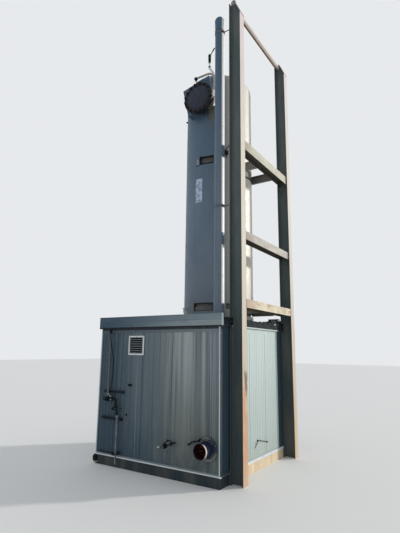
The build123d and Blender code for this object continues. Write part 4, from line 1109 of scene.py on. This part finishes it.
def strand(mesh, start, end, size, radius, steps, wander=0.0):
    """A bar round the jacket between two spots, each an angle in degrees and a level."""
    line = []
    for angle, z in zip(evenly(start[0], end[0], steps + 1), evenly(start[1], end[1], steps + 1)):
        shift = random.uniform(-wander, wander) if wander else 0.0
        line.append(around(radians(angle), radius, z + shift))
    pipe(mesh, line, size, 0.02, 8)


def window_ends():
    """Sheet over the near ends of the arms' windows, and a black strip crossed by three dark strands on the
    jacket's right front.
    """
    covers, black = bmesh.new(), bmesh.new()
    for arms, top in ((upper_arms, 0.112), (lower_arms, 0.004)):
        span = (radians(-50), radians(-40), arms - 0.112, arms + top)
        shell_strip(covers, *span, jacket_radius + 0.0002, 0.0012, 8)
    piece("window_covers", covers, "vessel_jacket")
    level = upper_window
    shell_strip(black, radians(-52.2), radians(-44.2), level + 0.078, level + 0.164, jacket_radius, 0.014, 6)
    for start, end in (
        ((-53.4, 0.322), (-50.4, 0.172)), ((-42.4, 0.277), (-49.6, 0.157)), ((-50.4, 0.092), (-46.0, 0.032)),
    ):
        start, end = (start[0], level + start[1]), (end[0], level + end[1])
        strand(black, start, end, 0.0085, jacket_radius + 0.006, 6)
    piece("window_end", black, "valve_body", BLACK)


def window_remains():
    """What is left of the sheet over the upper front window: one panel, a bent flap and a torn black rim,
    whose line along the window's top edge is a painted shadow.
    """
    sheet, flap, torn = bmesh.new(), bmesh.new(), bmesh.new()
    low, high = upper_window - window_height / 2, upper_window + window_height / 2
    for mesh, start, end, bottom, top, out, thickness, steps in (
        (sheet, -102.6, -93.6, low - 0.002, high + 0.002, 0.0018, 0.0012, 8),
        (flap, -99.6, -96.4, low + 0.006, low + 0.112, 0.0040, 0.0016, 6),
        (flap, -99.6, -93.8, low + 0.004, low + 0.022, 0.0058, 0.0016, 8),
    ):
        shell_strip(mesh, radians(start), radians(end), bottom, top, jacket_radius + out, thickness, steps)
    piece("window_sheet", sheet, "vessel_jacket")
    piece("window_flap", flap, "trim", FLAP_SHEET)
    # torn rim in black; along the top edge it is a painted shadow line
    for start, end, size in (
        ((-101.0, low + 0.115), (-100.8, low - 0.012), 0.0045),
        ((-101.0, low - 0.012), (-92.0, low - 0.002), 0.0075),
        ((-92.0, low - 0.002), (-68.6, low - 0.002), 0.0115),
        ((-93.2, high + 0.008), (-84.0, high - 0.014), 0.0125),
        ((-84.0, high - 0.014), (-68.6, high - 0.002), 0.0110),
        ((-93.4, high), (-92.6, low + 0.004), 0.0100),
    ):
        strand(torn, start, end, size, jacket_radius - 0.002, 8, 0.0015)
    piece("window_torn", torn, "valve_body", BLACK)


def blank_patch():
    """The blank weathered patch on the jacket, its edges worn."""
    mesh = bmesh.new()
    start, end, low, high = -pi / 2 - 0.20, -pi / 2 + 0.035, 4.63, 5.11
    columns, levels = 12, 18
    grid = []
    for i in range(columns + 1):
        row = []
        for j in range(levels + 1):
            worn_x = random.uniform(-0.004, 0.001) if i in (0, columns) else 0
            worn_z = random.uniform(-0.008, 0.002) if j in (0, levels) else 0
            angle = start + (end - start) * i / columns + (worn_x if i == columns else -worn_x)
            z = low + (high - low) * j / levels + (worn_z if j == levels else -worn_z)
            row.append(mesh.verts.new(around(angle, jacket_radius + 0.0006, z)))
        grid.append(row)
    for i in range(columns):
        for j in range(levels):
            mesh.faces.new((grid[i][j], grid[i + 1][j], grid[i + 1][j + 1], grid[i][j + 1]))
    piece("blank_patch", mesh, "white_fitting", PATCH)


def jacket_marks():
    """A plug, a stud and the white nipple on the jacket."""
    marks, nipple = bmesh.new(), bmesh.new()
    for angle, z, reach in ((-1.115, 2.926, 0.014), (-2.483, 6.556, 0.034)):
        lathe(marks, around(angle, jacket_radius - 0.001, z), outward(angle), (
            (0, 0), (0, 0.019), (reach * 0.4, 0.019), (reach * 0.4, 0.012), (reach, 0.012), (reach, 0),
        ), 16)
    piece("jacket_plugs", marks, "valve_body")
    angle, z = -2.19, 2.56
    foot, out = around(angle, jacket_radius - 0.004, z), outward(angle)
    elbow = foot + out * 0.045
    pipe(nipple, (foot, elbow, elbow + Z * 0.085), 0.017, 0.026, 18)
    ring(nipple, foot + out * 0.002, out, 0.016, 0.034, 0.006, 28)
    nut(nipple, elbow + Z * 0.070, Z, 0.044, 0.026)
    piece("jacket_nipple", nipple, "white_fitting")


def vent_couplings():
    """Union nuts on the head vent and a round hand grip on its valve lever."""
    mesh = bmesh.new()
    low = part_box("head_valve")[0]
    foot = Vector((low.x + 0.029, middle("head_valve").y, low.z))
    nut(mesh, foot - Z * 0.030, Z, 0.046, 0.026)
    nut(mesh, foot - Z * 0.137, Z, 0.050, 0.030, 0.3)
    stem = foot + Z * 0.121
    lever_tip = foot + Vector((0.119, 0, 0.282))
    back = (stem - lever_tip).normalized()
    rod(mesh, lever_tip + back * 0.004, lever_tip + back * 0.085, 0.0125, 14)
    nut(mesh, (stem.x, low.y, stem.z), -Y, 0.026, 0.012)
    piece("vent_couplings", mesh, "valve_body")


# Stack

def stack_details():
    """Bolted ears on the two stay bands, weld beads on the stack, and set screws on the cap's skirt."""
    ears, beads = bmesh.new(), bmesh.new()
    low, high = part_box("stack_stays")
    band, band_half, ears_turn = stack_radius + 0.0064, 0.023, radians(112)
    out = outward(ears_turn)
    side = Z.cross(out)
    for level in (low.z + band_half, high.z - band_half):
        for shift in (-1, 1):
            at = stack + out * (band + 0.016) + side * shift * 0.008 + Z * level
            slab(ears, at, (0.034, 0.006, 0.044), (out, side, Z))
        at = stack + out * (band + 0.018) + Z * level
        rod(ears, at - side * 0.026, at + side * 0.026, 0.006, 10)
        for sign in (1, -1):
            nut(ears, at + side * sign * 0.011, side * sign, 0.018, 0.009)
    for level in (3.05, 5.62):
        bead(beads, hoop(stack, stack_radius + 0.0005, level, 48), 0.0028, 0.02)
    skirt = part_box("stack_cap")[0].z + 0.06
    for number in range(8):
        out = outward(2 * pi * (number + 0.3) / 8)
        screw(beads, stack + out * 0.0935 + Z * skirt, out, 0.007)
    piece("stay_ears", ears, "frame_steel", STAY_STEEL)
    piece("stack_beads", beads, "stack_paint")


# Frame

def loop_at(y, low, high):
    """The corners of a closed loop in the plane at y."""
    return [Vector((x, y, z)) for x, z in (
        (low.x, low.z), (high.x, low.z), (high.x, high.z), (low.x, high.z), (low.x, low.z))]


def frame_welds():
    """Fillet welds where the beams meet the posts, the nose plates' edges, and the spacers."""
    mesh = bmesh.new()
    for beam in ("lower_beam", "middle_beam", "upper_beam", "top_beam"):
        low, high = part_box(beam)
        for y in (low.y + 0.002, high.y - 0.002):
            bead(mesh, loop_at(y, low, high), 0.005)
    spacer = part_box("skid_right_beam")[1].x + 0.006
    for low, high in posts:
        for y in (low.y + 0.001, high.y - 0.001):
            bead(mesh, ((nose_foot.x, y, high.z), (high.x, y, nose_foot.z)), 0.0045)
        for y in (low.y + 0.002, high.y - 0.002):
            bead(mesh, ((spacer, y, 0.012), (spacer, y, skid_top - 0.006)), 0.005)
        bead(mesh, ((spacer, low.y, skid_top + 0.001), (spacer, high.y, skid_top + 0.001)), 0.005)
    piece("frame_welds", mesh, "frame_steel")


def lifting_lugs():
    """A padeye with cheek rings on top of the front post."""
    mesh = bmesh.new()
    low, high = front_post
    half, rise, hole, sheet = 0.046, 0.062, 0.018, 0.018
    eye = Vector((low.x + 0.050, (low.y + high.y) / 2, high.z + rise))
    ring(mesh, eye - Y * sheet / 2, Y, hole, half, sheet, 28)
    ring(mesh, eye - Y * 0.015, Y, hole, 0.034, 0.030, 24)
    rim = ((half, -0.004), (0.040, -0.012), (0.018, -0.026), (0, -0.030))
    outline = [(-half, -rise), (half, -rise), *rim, *[(-x, z) for x, z in rim[-2::-1]]]
    plate(mesh, outline, eye + Y * sheet / 2, X, Z, sheet)
    for side in (-0.0105, 0.0105):
        foot = Vector((eye.x, eye.y + side, high.z + 0.002))
        bead(mesh, (foot - X * half, foot + X * half), 0.0045)
    piece("lifting_lugs", mesh, "frame_steel", LUG_STEEL)


# Housing

def trim_screws():
    """Sheet screws along the flashing, the eave trim, the fascia, the corner trims and the louvre."""
    mesh = bmesh.new()
    flashing, eave_line = middle("base_flashing").z + 0.006, middle("eave_trim").z
    trim, skin, broad, slim = 0.004, 0.003, 0.0065, 0.0055
    wall_end, fascia_end, fascia_edge, corner_edge, louvre_edge = 0.10, 0.05, 0.030, 0.015, 0.013
    for x in evenly(-right + wall_end, right - wall_end, 8):
        screw(mesh, (x, front - trim, flashing), -Y, broad)
        screw(mesh, (x, -front + trim, flashing), Y, broad)
        screw(mesh, (right + trim, x, flashing), X, broad)
        screw(mesh, (-right - trim, x, flashing), -X, broad)
        screw(mesh, (x * 0.99, front - trim, eave_line), -Y, broad)
    for x in evenly(fascia_low.x + fascia_end, fascia_high.x - fascia_end, 10):
        for z in (fascia_low.z + fascia_edge, fascia_high.z - fascia_edge):
            screw(mesh, (x, fascia_low.y, z), -Y, broad)
    for z in evenly(0.32, 2.12, 7):
        for x_sign in (-1, 1):
            for y_sign in (-1, 1):
                screw(mesh, (x_sign * (right - corner_edge), y_sign * (-front + skin), z), Y * y_sign, slim)
                screw(mesh, (x_sign * (right + skin), y_sign * (-front - corner_edge), z), X * x_sign, slim)
    for x in evenly(louvre_low.x + louvre_edge, louvre_high.x - louvre_edge, 3):
        for z in (louvre_low.z + louvre_edge, louvre_high.z - louvre_edge):
            screw(mesh, (x, louvre_low.y, z), -Y, slim)
    hub = middle("outlet_plate")
    for at in clock((hub.x, front - 0.006, hub.z), 0.156, 8, pi / 8):
        screw(mesh, at, -Y, 0.008)
    piece("trim_screws", mesh, "trim", ZINC)


def crest_lines(node, across, face_axis, face):
    """The middles of a wall's rib crests, read from the corners on its outer face."""
    corners = [vert.co for vert in frame["nodes"][node].data.vertices]
    places = sorted({round(at[across], 4) for at in corners if abs(at[face_axis] - face) < 0.0004})
    return [(a + b) / 2 for a, b in zip(places, places[1:]) if 0.010 < b - a < 0.022]


def panel_laps():
    """Standing laps over rib crests where the wall sheets join, with their rivets."""
    laps, side_laps, front_laps, rivets = (bmesh.new() for number in range(4))
    low, high = wall_low.z + 0.036, eave - 0.096
    sheet_width = 0.60
    for node, sheet, across, face_axis, face, out, first in (
        ("front_wall", front_laps, 0, 1, front, -Y, -0.88), ("back_wall", laps, 0, 1, -front, Y, -0.90),
        ("right_wall", side_laps, 1, 0, right, X, -0.84), ("left_wall", laps, 1, 0, -right, -X, -0.90),
    ):
        crests = crest_lines(node, across, face_axis, face)
        for number in range(4):
            wanted = first + sheet_width * number
            at = Vector((0, 0, (low + high) / 2))
            at[across] = min(crests, key=lambda crest: abs(crest - wanted))
            at[face_axis] = face
            slab(sheet, at + out * 0.0006, (0.021, 0.0016, high - low), (Z.cross(out), out, Z), 0.0005)
            for step in range(6):
                spot = at + Z * ((step - 2.5) * (high - low) / 6.2) + out * 0.0013
                lathe(rivets, spot, out, (
                    (0, 0), (0, 0.0048), (0.0012, 0.0044), (0.0026, 0.0022), (0.0028, 0),
                ), 12)
    piece("panel_laps", laps, "wall_cladding")
    piece("front_laps", front_laps, "wall_cladding", FRONT_SHEET)
    piece("side_laps", side_laps, "wall_cladding", SUNLIT_SIDE_SHEET)
    piece("panel_rivets", rivets, "trim", ZINC)


def trim_joints():
    """Lap joints in the corner trims and in the fascia, and the fascia's folded top edge."""
    mesh, edges = bmesh.new(), bmesh.new()
    sheet, width, height = 0.0016, 0.034, 0.050
    for x_sign in (-1, 1):
        for y_sign in (-1, 1):
            level = 1.634 if (x_sign, y_sign) == (1, -1) else 1.2
            x, y = x_sign * (right + 0.003), y_sign * (-front + 0.003)
            out_x, out_y = x_sign * sheet / 2, y_sign * sheet / 2
            back_x, back_y = x_sign * 0.0165, y_sign * 0.0165
            slab(mesh, (x - back_x, y + out_y, level), (width, sheet, height), bevel=0.0005)
            slab(mesh, (x + out_x, y - back_y, level), (sheet, width, height), bevel=0.0005)
    piece("trim_joints", mesh, "trim")
    low, high = fascia_low, fascia_high
    length, fold = high.x - low.x, 0.0024
    slab(edges, (0, low.y - fold / 2, high.z - 0.008), (length, fold, 0.016), bevel=0.0008)
    slab(edges, (0, low.y - fold / 2, low.z + 0.006), (length, fold, 0.012), bevel=0.0008)
    slab(edges, (0, (low.y + high.y) / 2, high.z + sheet / 2), (length, high.y - low.y, sheet), bevel=0.0005)
    piece("fascia_edges", edges, "trim", FASCIA)


def louvre_screen():
    """Insect wire behind the louvre's slats."""
    mesh = bmesh.new()
    low, high = louvre_low, louvre_high
    y, wire, margin, first = low.y + 0.060, 0.0011, 0.030, 0.034
    for x in evenly(low.x + first, high.x - first, 21):
        rod(mesh, (x, y, low.z + margin), (x, y, high.z - margin), wire, 6)
    for z in evenly(low.z + first, high.z - first, 19):
        rod(mesh, (low.x + margin, y + 0.0016, z), (high.x - margin, y + 0.0016, z), wire, 6)
    piece("louvre_screen", mesh, "louvre_metal", BLACK)


def roof_edge():
    """The bent flashing on the roof's right edge, near black with painted shade, with its loose strip and its
    drip.
    """
    strip, drip = bmesh.new(), bmesh.new()
    low, high = roof_low, roof_high
    x, hem, fold, top = high.x + 0.0005, low.z + 0.012, low.z + 0.060, high.z + 0.010
    rows, gauge, waver, jitter = [], 0.0035, 0.004, 0.002
    for number, y in enumerate(evenly(low.y, high.y, 61)):
        bend = waver * sin(number * 0.9) + random.uniform(-jitter, jitter)
        lift = waver * sin(number * 0.37) + random.uniform(-jitter, jitter)
        rows.append([strip.verts.new(v) for v in (
            (x, y, hem), (x + gauge, y, hem), (x + gauge, y, fold), (x + 0.004 + bend, y, top + lift),
            (x + 0.001 + bend, y, top + lift), (x, y, fold))])
    loft(strip, rows)
    sagging = (X, Y + Z * 0.08, Z)
    slab(strip, (x - 0.05, 0.79, high.z + 0.036), (0.090, 0.46, 0.064), sagging, 0.004)
    slab(strip, (x - 0.035, 0.76, high.z + 0.083), (0.050, 0.40, 0.040), sagging, 0.004)
    piece("roof_edge", strip, "roof_sheet", EDGE_SHADE)
    depth = high.y - low.y - 0.002
    slab(drip, (x + 0.001, (low.y + high.y) / 2, low.z + 0.003), (0.003, depth, 0.018), bevel=0.0006)
    piece("roof_drip", drip, "wall_cladding", SUNLIT_SIDE_SHEET)


def roof_lumps():
    """Lumps of debris along the roof's right edge, in the flashing's painted-shade colour, and the pale
    sealant between them.
    """
    for name, slot, material, out, spots in (
        ("roof_lumps", "roof_sheet", EDGE_SHADE, -0.014, (
            (0.12, 0.004, 0.020), (0.20, -0.002, 0.016), (0.27, 0.008, 0.026), (0.33, 0.002, 0.018),
            (0.40, 0.014, 0.030), (0.46, 0.022, 0.026), (0.50, 0.012, 0.024), (0.57, 0.016, 0.022),
            (1.02, 0.028, 0.030), (1.10, 0.016, 0.026), (-0.30, -0.002, 0.012), (-0.55, -0.002, 0.014),
        )),
        ("roof_sealant", "white_fitting", None, 0.004, (
            (0.897, 0.088, 0.026), (0.875, 0.084, 0.018), (0.707, -0.002, 0.020), (0.690, -0.006, 0.015),
        )),
    ):
        mesh = bmesh.new()
        for y, rise, size in spots:
            lump(mesh, (roof_high.x + 0.0005 + out, y, roof_high.z + rise), size)
        piece(name, mesh, slot, material)


def collar_sealant():
    """Beads of sealant round the tower's and the stack's collars, and roof screws on the seams."""
    mesh, screws = bmesh.new(), bmesh.new()
    for node, centre, radius in (
        ("tower_collar", tower, jacket_radius), ("stack_collar", stack, stack_radius),
    ):
        bead(mesh, hoop(centre, radius + 0.003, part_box(node)[1].z + 0.001, 96), 0.006, 0.03)
    piece("collar_sealant", mesh, "white_fitting", SEALANT)
    seam_pitch, row_pitch, first_row, beside_seam = 0.42, 0.70, -1.05, 0.05
    round_tower, round_stack, edge = 0.80, 0.20, 1.2
    drop, fall = 0.024, 0.02 / (roof_high.y - roof_low.y)
    for x in [(number - 2) * seam_pitch for number in range(6)]:
        for y in [first_row + row_pitch * step for step in range(4)]:
            at = Vector((x, y, 0))
            if (at - tower).length < round_tower or (at - stack).length < round_stack or abs(x) > edge:
                continue
            screw(screws, (x - beside_seam, y, roof_high.z - drop - fall * (y - roof_low.y)), Z, 0.007)
    piece("roof_screws", screws, "roof_sheet", ZINC)


# Fittings on the front wall

def saddle(mesh, x, y, z, radius, width, face):
    """A two-eared strap that holds an upright tube against the plane at face."""
    sheet, lines = 0.002, []
    for reach in (radius + 0.0015, radius + 0.0015 + sheet):
        arc = [(x + reach * cos(a), y + reach * sin(a)) for a in evenly(pi, 2 * pi, 9)]
        lines.append([(x - reach, face - sheet), *arc, (x + reach, face - sheet)])
    low, high = z - width / 2, z + width / 2
    loft(mesh, [
        [mesh.verts.new(v) for v in ((*inner, low), (*outer, low), (*outer, high), (*inner, high))]
        for inner, outer in zip(*lines)
    ])
    for side in (-1, 1):
        at = Vector((x + side * (radius + 0.013), face - 0.0015, z))
        slab(mesh, at, (0.024, sheet, width), bevel=0.0006)
        screw(mesh, at - Y * 0.001, -Y, 0.006)


def conduit_fittings():
    """The black boot at the conduit's top, its white lower coupling, and the thin cable beside it."""
    black, white = bmesh.new(), bmesh.new()
    x, y, top, radius = conduit.x, conduit.y, conduit_top, conduit_radius
    lathe(black, (x, y, top - 0.075), Z, (
        (0, radius), (0.003, radius + 0.003), (0.070, radius + 0.0045), (0.078, radius + 0.002),
        (0.078, radius),
    ), 24)
    pipe(black, (
        (x + 0.005, y - 0.004, top - 0.03), (x + 0.002, y - 0.022, top - 0.118),
        (x + 0.032, y - 0.006, top - 0.248), (x + 0.046, front - 0.014, top - 0.518),
        (x + 0.046, front - 0.014, top - 0.768), (x + 0.034, front - 0.030, top - 0.978),
        (x + 0.024, y, top - 1.058),
    ), 0.0055, 0.06, 12)
    piece("conduit_cable", black, "valve_body", BLACK)
    for spot, size in (((x + 0.013, y, top - 1.096), 0.026), ((x + 0.053, y + 0.005, top - 1.124), 0.030)):
        nut(white, spot, Z, size, 0.022, random.uniform(0, 1))
        lathe(white, spot, Z, (
            (0.022, 0), (0.022, size * 0.36), (0.030, size * 0.36), (0.032, size * 0.3), (0.032, 0),
        ), 20)
    piece("conduit_coupling", white, "white_fitting", FLAP_SHEET)


def strut_fittings():
    """Bolts and square washers at both ends of the struts, and clamps where the tubes cross them."""
    mesh = bmesh.new()
    washer, side, bolt_inset, bolt_length, bolt_radius = 0.004, 0.036, 0.035, 0.020, 0.0055
    pitch, first, hole, rim, lip = 0.055, 0.030, 0.007, 0.0095, 0.0012
    for node in ("upper_strut", "lower_strut"):
        low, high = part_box(node)
        z = (low.z + high.z) / 2
        for x in (low.x + bolt_inset, high.x - bolt_inset):
            slab(mesh, (x, low.y - washer / 2, z), (side, washer, side), bevel=0.0008)
            nut(mesh, (x, low.y - washer, z), -Y, 0.019, 0.009, random.uniform(0, 1))
            rod(mesh, (x, low.y - washer, z), (x, low.y - bolt_length, z), bolt_radius, 10)
        for number in range(int((high.x - low.x) / pitch)):
            at = (low.x + first + number * pitch, low.y - 0.0004, z)
            lathe(mesh, at, -Y, ((0, hole), (0, rim), (lip, rim), (lip, hole)), 16, closed=True)
    strut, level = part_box("lower_strut")[0].y, middle("lower_strut").z
    saddle(mesh, tubing_x, tubing_y, level, tubing_radius, 0.022, strut)
    piece("strut_fittings", mesh, "galvanised")


def valve_cluster():
    """Regulator bonnet and caps, black hose along the tubing, and the hooked lever valve."""
    black, lever, white = bmesh.new(), bmesh.new(), bmesh.new()
    low, high = regulator_low.x, regulator_high.x
    stem, y, z = bonnet
    for x, size, width in (
        (low + 0.012, 0.050, 0.020), (low + 0.060, 0.056, 0.016), (high - 0.050, 0.054, 0.024),
        (high - 0.014, 0.044, 0.018),
    ):
        nut(black, (x, y, z), X, size, width, random.uniform(0, 1))
    lathe(black, (stem, y - 0.02, z), -Y, (
        (0, 0.022), (0.020, 0.022), (0.022, 0.030), (0.030, 0.030), (0.036, 0.022), (0.046, 0.020),
        (0.048, 0),
    ), 24)
    screws, screw_circle = 6, 0.032
    for angle in [2 * pi * number / screws for number in range(screws)]:
        at = (conduit.x - 0.034, y + screw_circle * cos(angle), z + screw_circle * sin(angle))
        screw(black, at, -X, 0.005)
    start, end = Vector((high, tubing_y, z)), Vector((tubing_x, tubing_y, hose_end))
    fall, hose_wall = Vector((0.030, 0, -0.12)), 0.008
    pipe(black, (start, start + X * 0.034, end - fall, end), tubing_radius + hose_wall, 0.040, 18)
    nut(black, start + X * 0.002, X, 0.042, 0.022)
    valve, down = end + Vector((-0.032, 0, 0.125)), fall.normalized()
    lathe(black, valve - down * 0.030, down, (
        (0, 0), (0, 0.020), (0.008, 0.026), (0.050, 0.026), (0.060, 0.020), (0.060, 0),
    ), 20)
    hook = ((-0.010, 0, 0), (-0.050, -0.006, 0.008), (-0.075, -0.006, -0.014), (-0.072, -0.006, -0.040))
    pipe(black, [valve + Vector(step) for step in hook], 0.017, 0.018, 12)
    rod(black, valve, valve - Y * 0.045, 0.010, 14)
    nut(black, valve - Y * 0.040, -Y, 0.022, 0.009)
    piece("valve_cluster", black, "valve_body")
    handle = ((0, -0.036, 0), (0.06, -0.040, 0.006), (0.165, -0.040, 0.012))
    pipe(lever, [valve + Vector(step) for step in handle], 0.009, 0.02, 10)
    piece("valve_lever", lever, "galvanised")
    lathe(white, (high - 0.037, y - 0.026, z - 0.006), -Y, (
        (0, 0), (0, 0.012), (0.010, 0.012), (0.014, 0.008), (0.014, 0),
    ), 24)
    piece("regulator_cap", white, "white_fitting", FLAP_SHEET)


def tube_couplings():
    """The bent tube over the regulator, and the unions where the hose meets the tubing."""
    mesh = bmesh.new()
    x, y, z = bonnet
    pipe(mesh, ((x, y, z + 0.022), (x, y, z + 0.070), (conduit.x - 0.030, y, z + 0.085)), 0.009, 0.02, 12)
    end = Vector((tubing_x, tubing_y, hose_end))
    nut(mesh, end - Z * 0.010, Z, 0.040, 0.024)
    lathe(mesh, end - Z * 0.032, Z, ((0, 0.012), (0.002, 0.019), (0.018, 0.019), (0.022, 0.012)), 18)
    nut(mesh, end - Z * 0.060, Z, 0.036, 0.022, 0.4)
    piece("tube_couplings", mesh, "galvanised", PALE_TUBE)


def spare_tube():
    """The second thin tube beside the tubing with its clips."""
    mesh = bmesh.new()
    x, y = tubing_x + 0.103, front - 0.010
    points = ((0.006, 0.775), (0.004, 0.60), (-0.004, 0.42), (-0.012, 0.335))
    pipe(mesh, [(x + shift, y, z) for shift, z in points], 0.006, 0.05, 12)
    for z in (0.70, 0.41):
        slab(mesh, (x, y - 0.005, z), (0.030, 0.003, 0.012), bevel=0.0008)
        screw(mesh, (x - 0.011, y - 0.0065, z), -Y, 0.0045)
    piece("spare_tube", mesh, "galvanised", DULL_TUBE)


def cable_loop():
    """The loop of cable near the floor, with the small black box and the plug on the wall above."""
    mesh = bmesh.new()
    centre, turns, loop = Vector((tubing_x + 0.012, tubing_y, 0.232)), 2.25, []
    reach, depth, height, settle, radius = 0.090, 0.024, 0.020, 0.012, 0.0075
    for share in evenly(0, 1, 61):
        angle = 2 * pi * turns * share
        loop.append(centre + Vector((
            (reach - settle * share) * cos(angle), depth * sin(angle) - 0.004,
            height * sin(angle * 1.03 + 0.6) - settle * share)))
    pipe(mesh, loop, radius, 0.02, 10)
    pipe(mesh, (
        (-1.150, front - 0.016, 0.216), (-1.00, front - 0.018, 0.204), (-0.86, front - 0.018, 0.212),
        (tubing_x - 0.075, tubing_y + 0.02, 0.226),
    ), 0.0080, 0.10, 10)
    box = Vector((-0.498, front - 0.012, 1.303))
    slab(mesh, box, (0.076, 0.024, 0.034), bevel=0.004)
    for side in (-1, 1):
        screw(mesh, box + Vector((side * 0.026, -0.012, 0)), -Y, 0.005)
    lathe(mesh, (-0.560, front, 0.830), -Y, (
        (0, 0), (0, 0.016), (0.006, 0.016), (0.010, 0.009), (0.016, 0.009), (0.016, 0),
    ), 16)
    piece("cable_loop", mesh, "valve_body", BLACK)


def drain_fittings():
    """Bonnet, lever and couplings on the drain valve, its escutcheon and the worn white tip."""
    dark, pale = bmesh.new(), bmesh.new()
    x, z = middle("drain_pipe").x, middle("drain_pipe").z
    low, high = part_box("drain_valve")
    y, top = (low.y + high.y) / 2, high.z
    size, width, stem_radius = 0.052, 0.024, 0.008
    bolt_circle, bolts, bolt_length, bolt_radius = 0.029, 6, 0.054, 0.0035
    nut(dark, (x, low.y + 0.002, z), -Y, size, width)
    nut(dark, (x, high.y - 0.004, z), Y, size, width, 0.5)
    for at in clock((x, low.y - 0.004, z), bolt_circle, bolts):
        rod(dark, at, at + Y * bolt_length, bolt_radius, 8)
    rod(dark, (x, y, top - 0.01), (x, y, top + 0.018), stem_radius, 14)
    nut(dark, (x, y, top + 0.012), Z, 0.018, 0.008)
    pipe(dark, (
        (x, y, top + 0.010), (x + 0.035, y + 0.01, top + 0.012), (x + 0.070, y + 0.02, top - 0.004),
        (x + 0.115, y + 0.03, top - 0.012), (x + 0.140, y + 0.036, top - 0.012),
    ), 0.0075, 0.02, 12)
    piece("drain_handle", dark, "valve_body")
    ring(pale, (x, front + 0.0005, z), -Y, 0.0175, 0.040, 0.006, 32)
    for at in clock((x, front - 0.006, z), 0.031, 3, 0.5):
        screw(pale, at, -Y, 0.0045)
    lathe(pale, (x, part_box("drain_pipe")[0].y + 0.062, z), Y, (
        (0, 0.0225), (0.002, 0.027), (0.012, 0.027), (0.014, 0.0225),
    ), 24)
    piece("drain_collar", pale, "white_fitting", LAP_SHEET)


def outlet_rod():
    """The dark knotted rod over the outlet and the weld ring at its plate."""
    dark, beads = bmesh.new(), bmesh.new()
    out = 0.050
    route = [Vector((outlet.x + x, front - out, outlet.z + z)) for x, z in (
        (-0.088, 0.130), (-0.108, 0.108), (-0.142, 0.097), (-0.190, 0.090), (-0.234, 0.074), (-0.250, 0.055),
        (-0.284, 0.041),
    )]
    pipe(dark, route, 0.0095, 0.02, 12)
    for number, size in ((0, 0.017), (1, 0.020), (3, 0.018), (4, 0.016), (6, 0.021)):
        lump(dark, route[number], size)
    rod(dark, route[2], route[2] + Y * out, 0.006, 10)
    piece("outlet_rod", dark, "valve_body")
    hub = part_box("outlet_plate")[0].y
    for gap, y, size in ((0.002, hub - 0.001, 0.0055), (0.018, front - 0.007, 0.0045)):
        points = clock((outlet.x, y, outlet.z), outlet_radius + gap, 72)
        bead(beads, points + points[:1], size)
    piece("outlet_beads", beads, "pipe_steel")


def side_rod():
    """The bent dark rod that hangs on the right wall."""
    mesh = bmesh.new()
    route = ((-0.124, 0.355), (-0.085, 0.40), (-0.018, 0.452), (0.16, 0.418), (0.357, 0.373))
    pipe(mesh, [(right + 0.012, y, z) for y, z in route], 0.005, 0.05, 10)
    for y, z in (route[2], route[4]):
        lathe(mesh, (right, y, z), X, (
            (0, 0), (0, 0.012), (0.004, 0.012), (0.006, 0.007), (0.014, 0.007), (0.014, 0),
        ), 14)
    piece("side_rod", mesh, "valve_body")


def skid_details():
    """Weld beads at the skid's corners and round the tow pipe's ends, and the bright scrap at the corner."""
    mesh, scrap = bmesh.new(), bmesh.new()
    low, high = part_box("tow_pipe")
    centre, radius = middle("tow_pipe"), half_width("tow_pipe") + 0.001
    for y in (low.y + 0.006, high.y - 0.006):
        rim = Vector((centre.x, y, centre.z))
        angles = [radians(angle) for angle in evenly(-88, 88, 25)]
        bead(mesh, [rim + Vector((radius * cos(a), 0, radius * sin(a))) for a in angles], 0.005)
    x = right - 0.001
    for y_sign in (-1, 1):
        y = y_sign * (-front - 0.001)
        bead(mesh, ((x, y, 0.004), (x, y, skid_top - 0.004)), 0.0045)
    piece("skid_welds", mesh, "skid_steel")
    corner = Vector((right, front, skid_top))
    slab(scrap, corner + Vector((0.014, -0.010, 0.012)), (0.030, 0.026, 0.012), (X + Y * 0.3, Y, Z), 0.002)
    slab(scrap, corner + Vector((0.006, -0.012, 0.004)), (0.040, 0.014, 0.005), (X, Y + Z * 0.2, Z), 0.001)
    piece("corner_scrap", scrap, "white_fitting")


put_camera()
put_world()
put_floor()
put_sun()
dress_frame()
for build in (
    manway_bolts, manway_gasket, davit_fittings, box_trim, jacket_laps, window_lips, window_ends,
    window_remains, blank_patch, jacket_marks, vent_couplings, stack_details, frame_welds, lifting_lugs,
    trim_screws, panel_laps, trim_joints, louvre_screen, roof_edge, roof_lumps, collar_sealant,
    conduit_fittings, strut_fittings, valve_cluster, tube_couplings, spare_tube, cable_loop,
    drain_fittings, outlet_rod, side_rod, skid_details,
):
    build()

bpy.context.scene.view_settings.view_transform = "Standard"
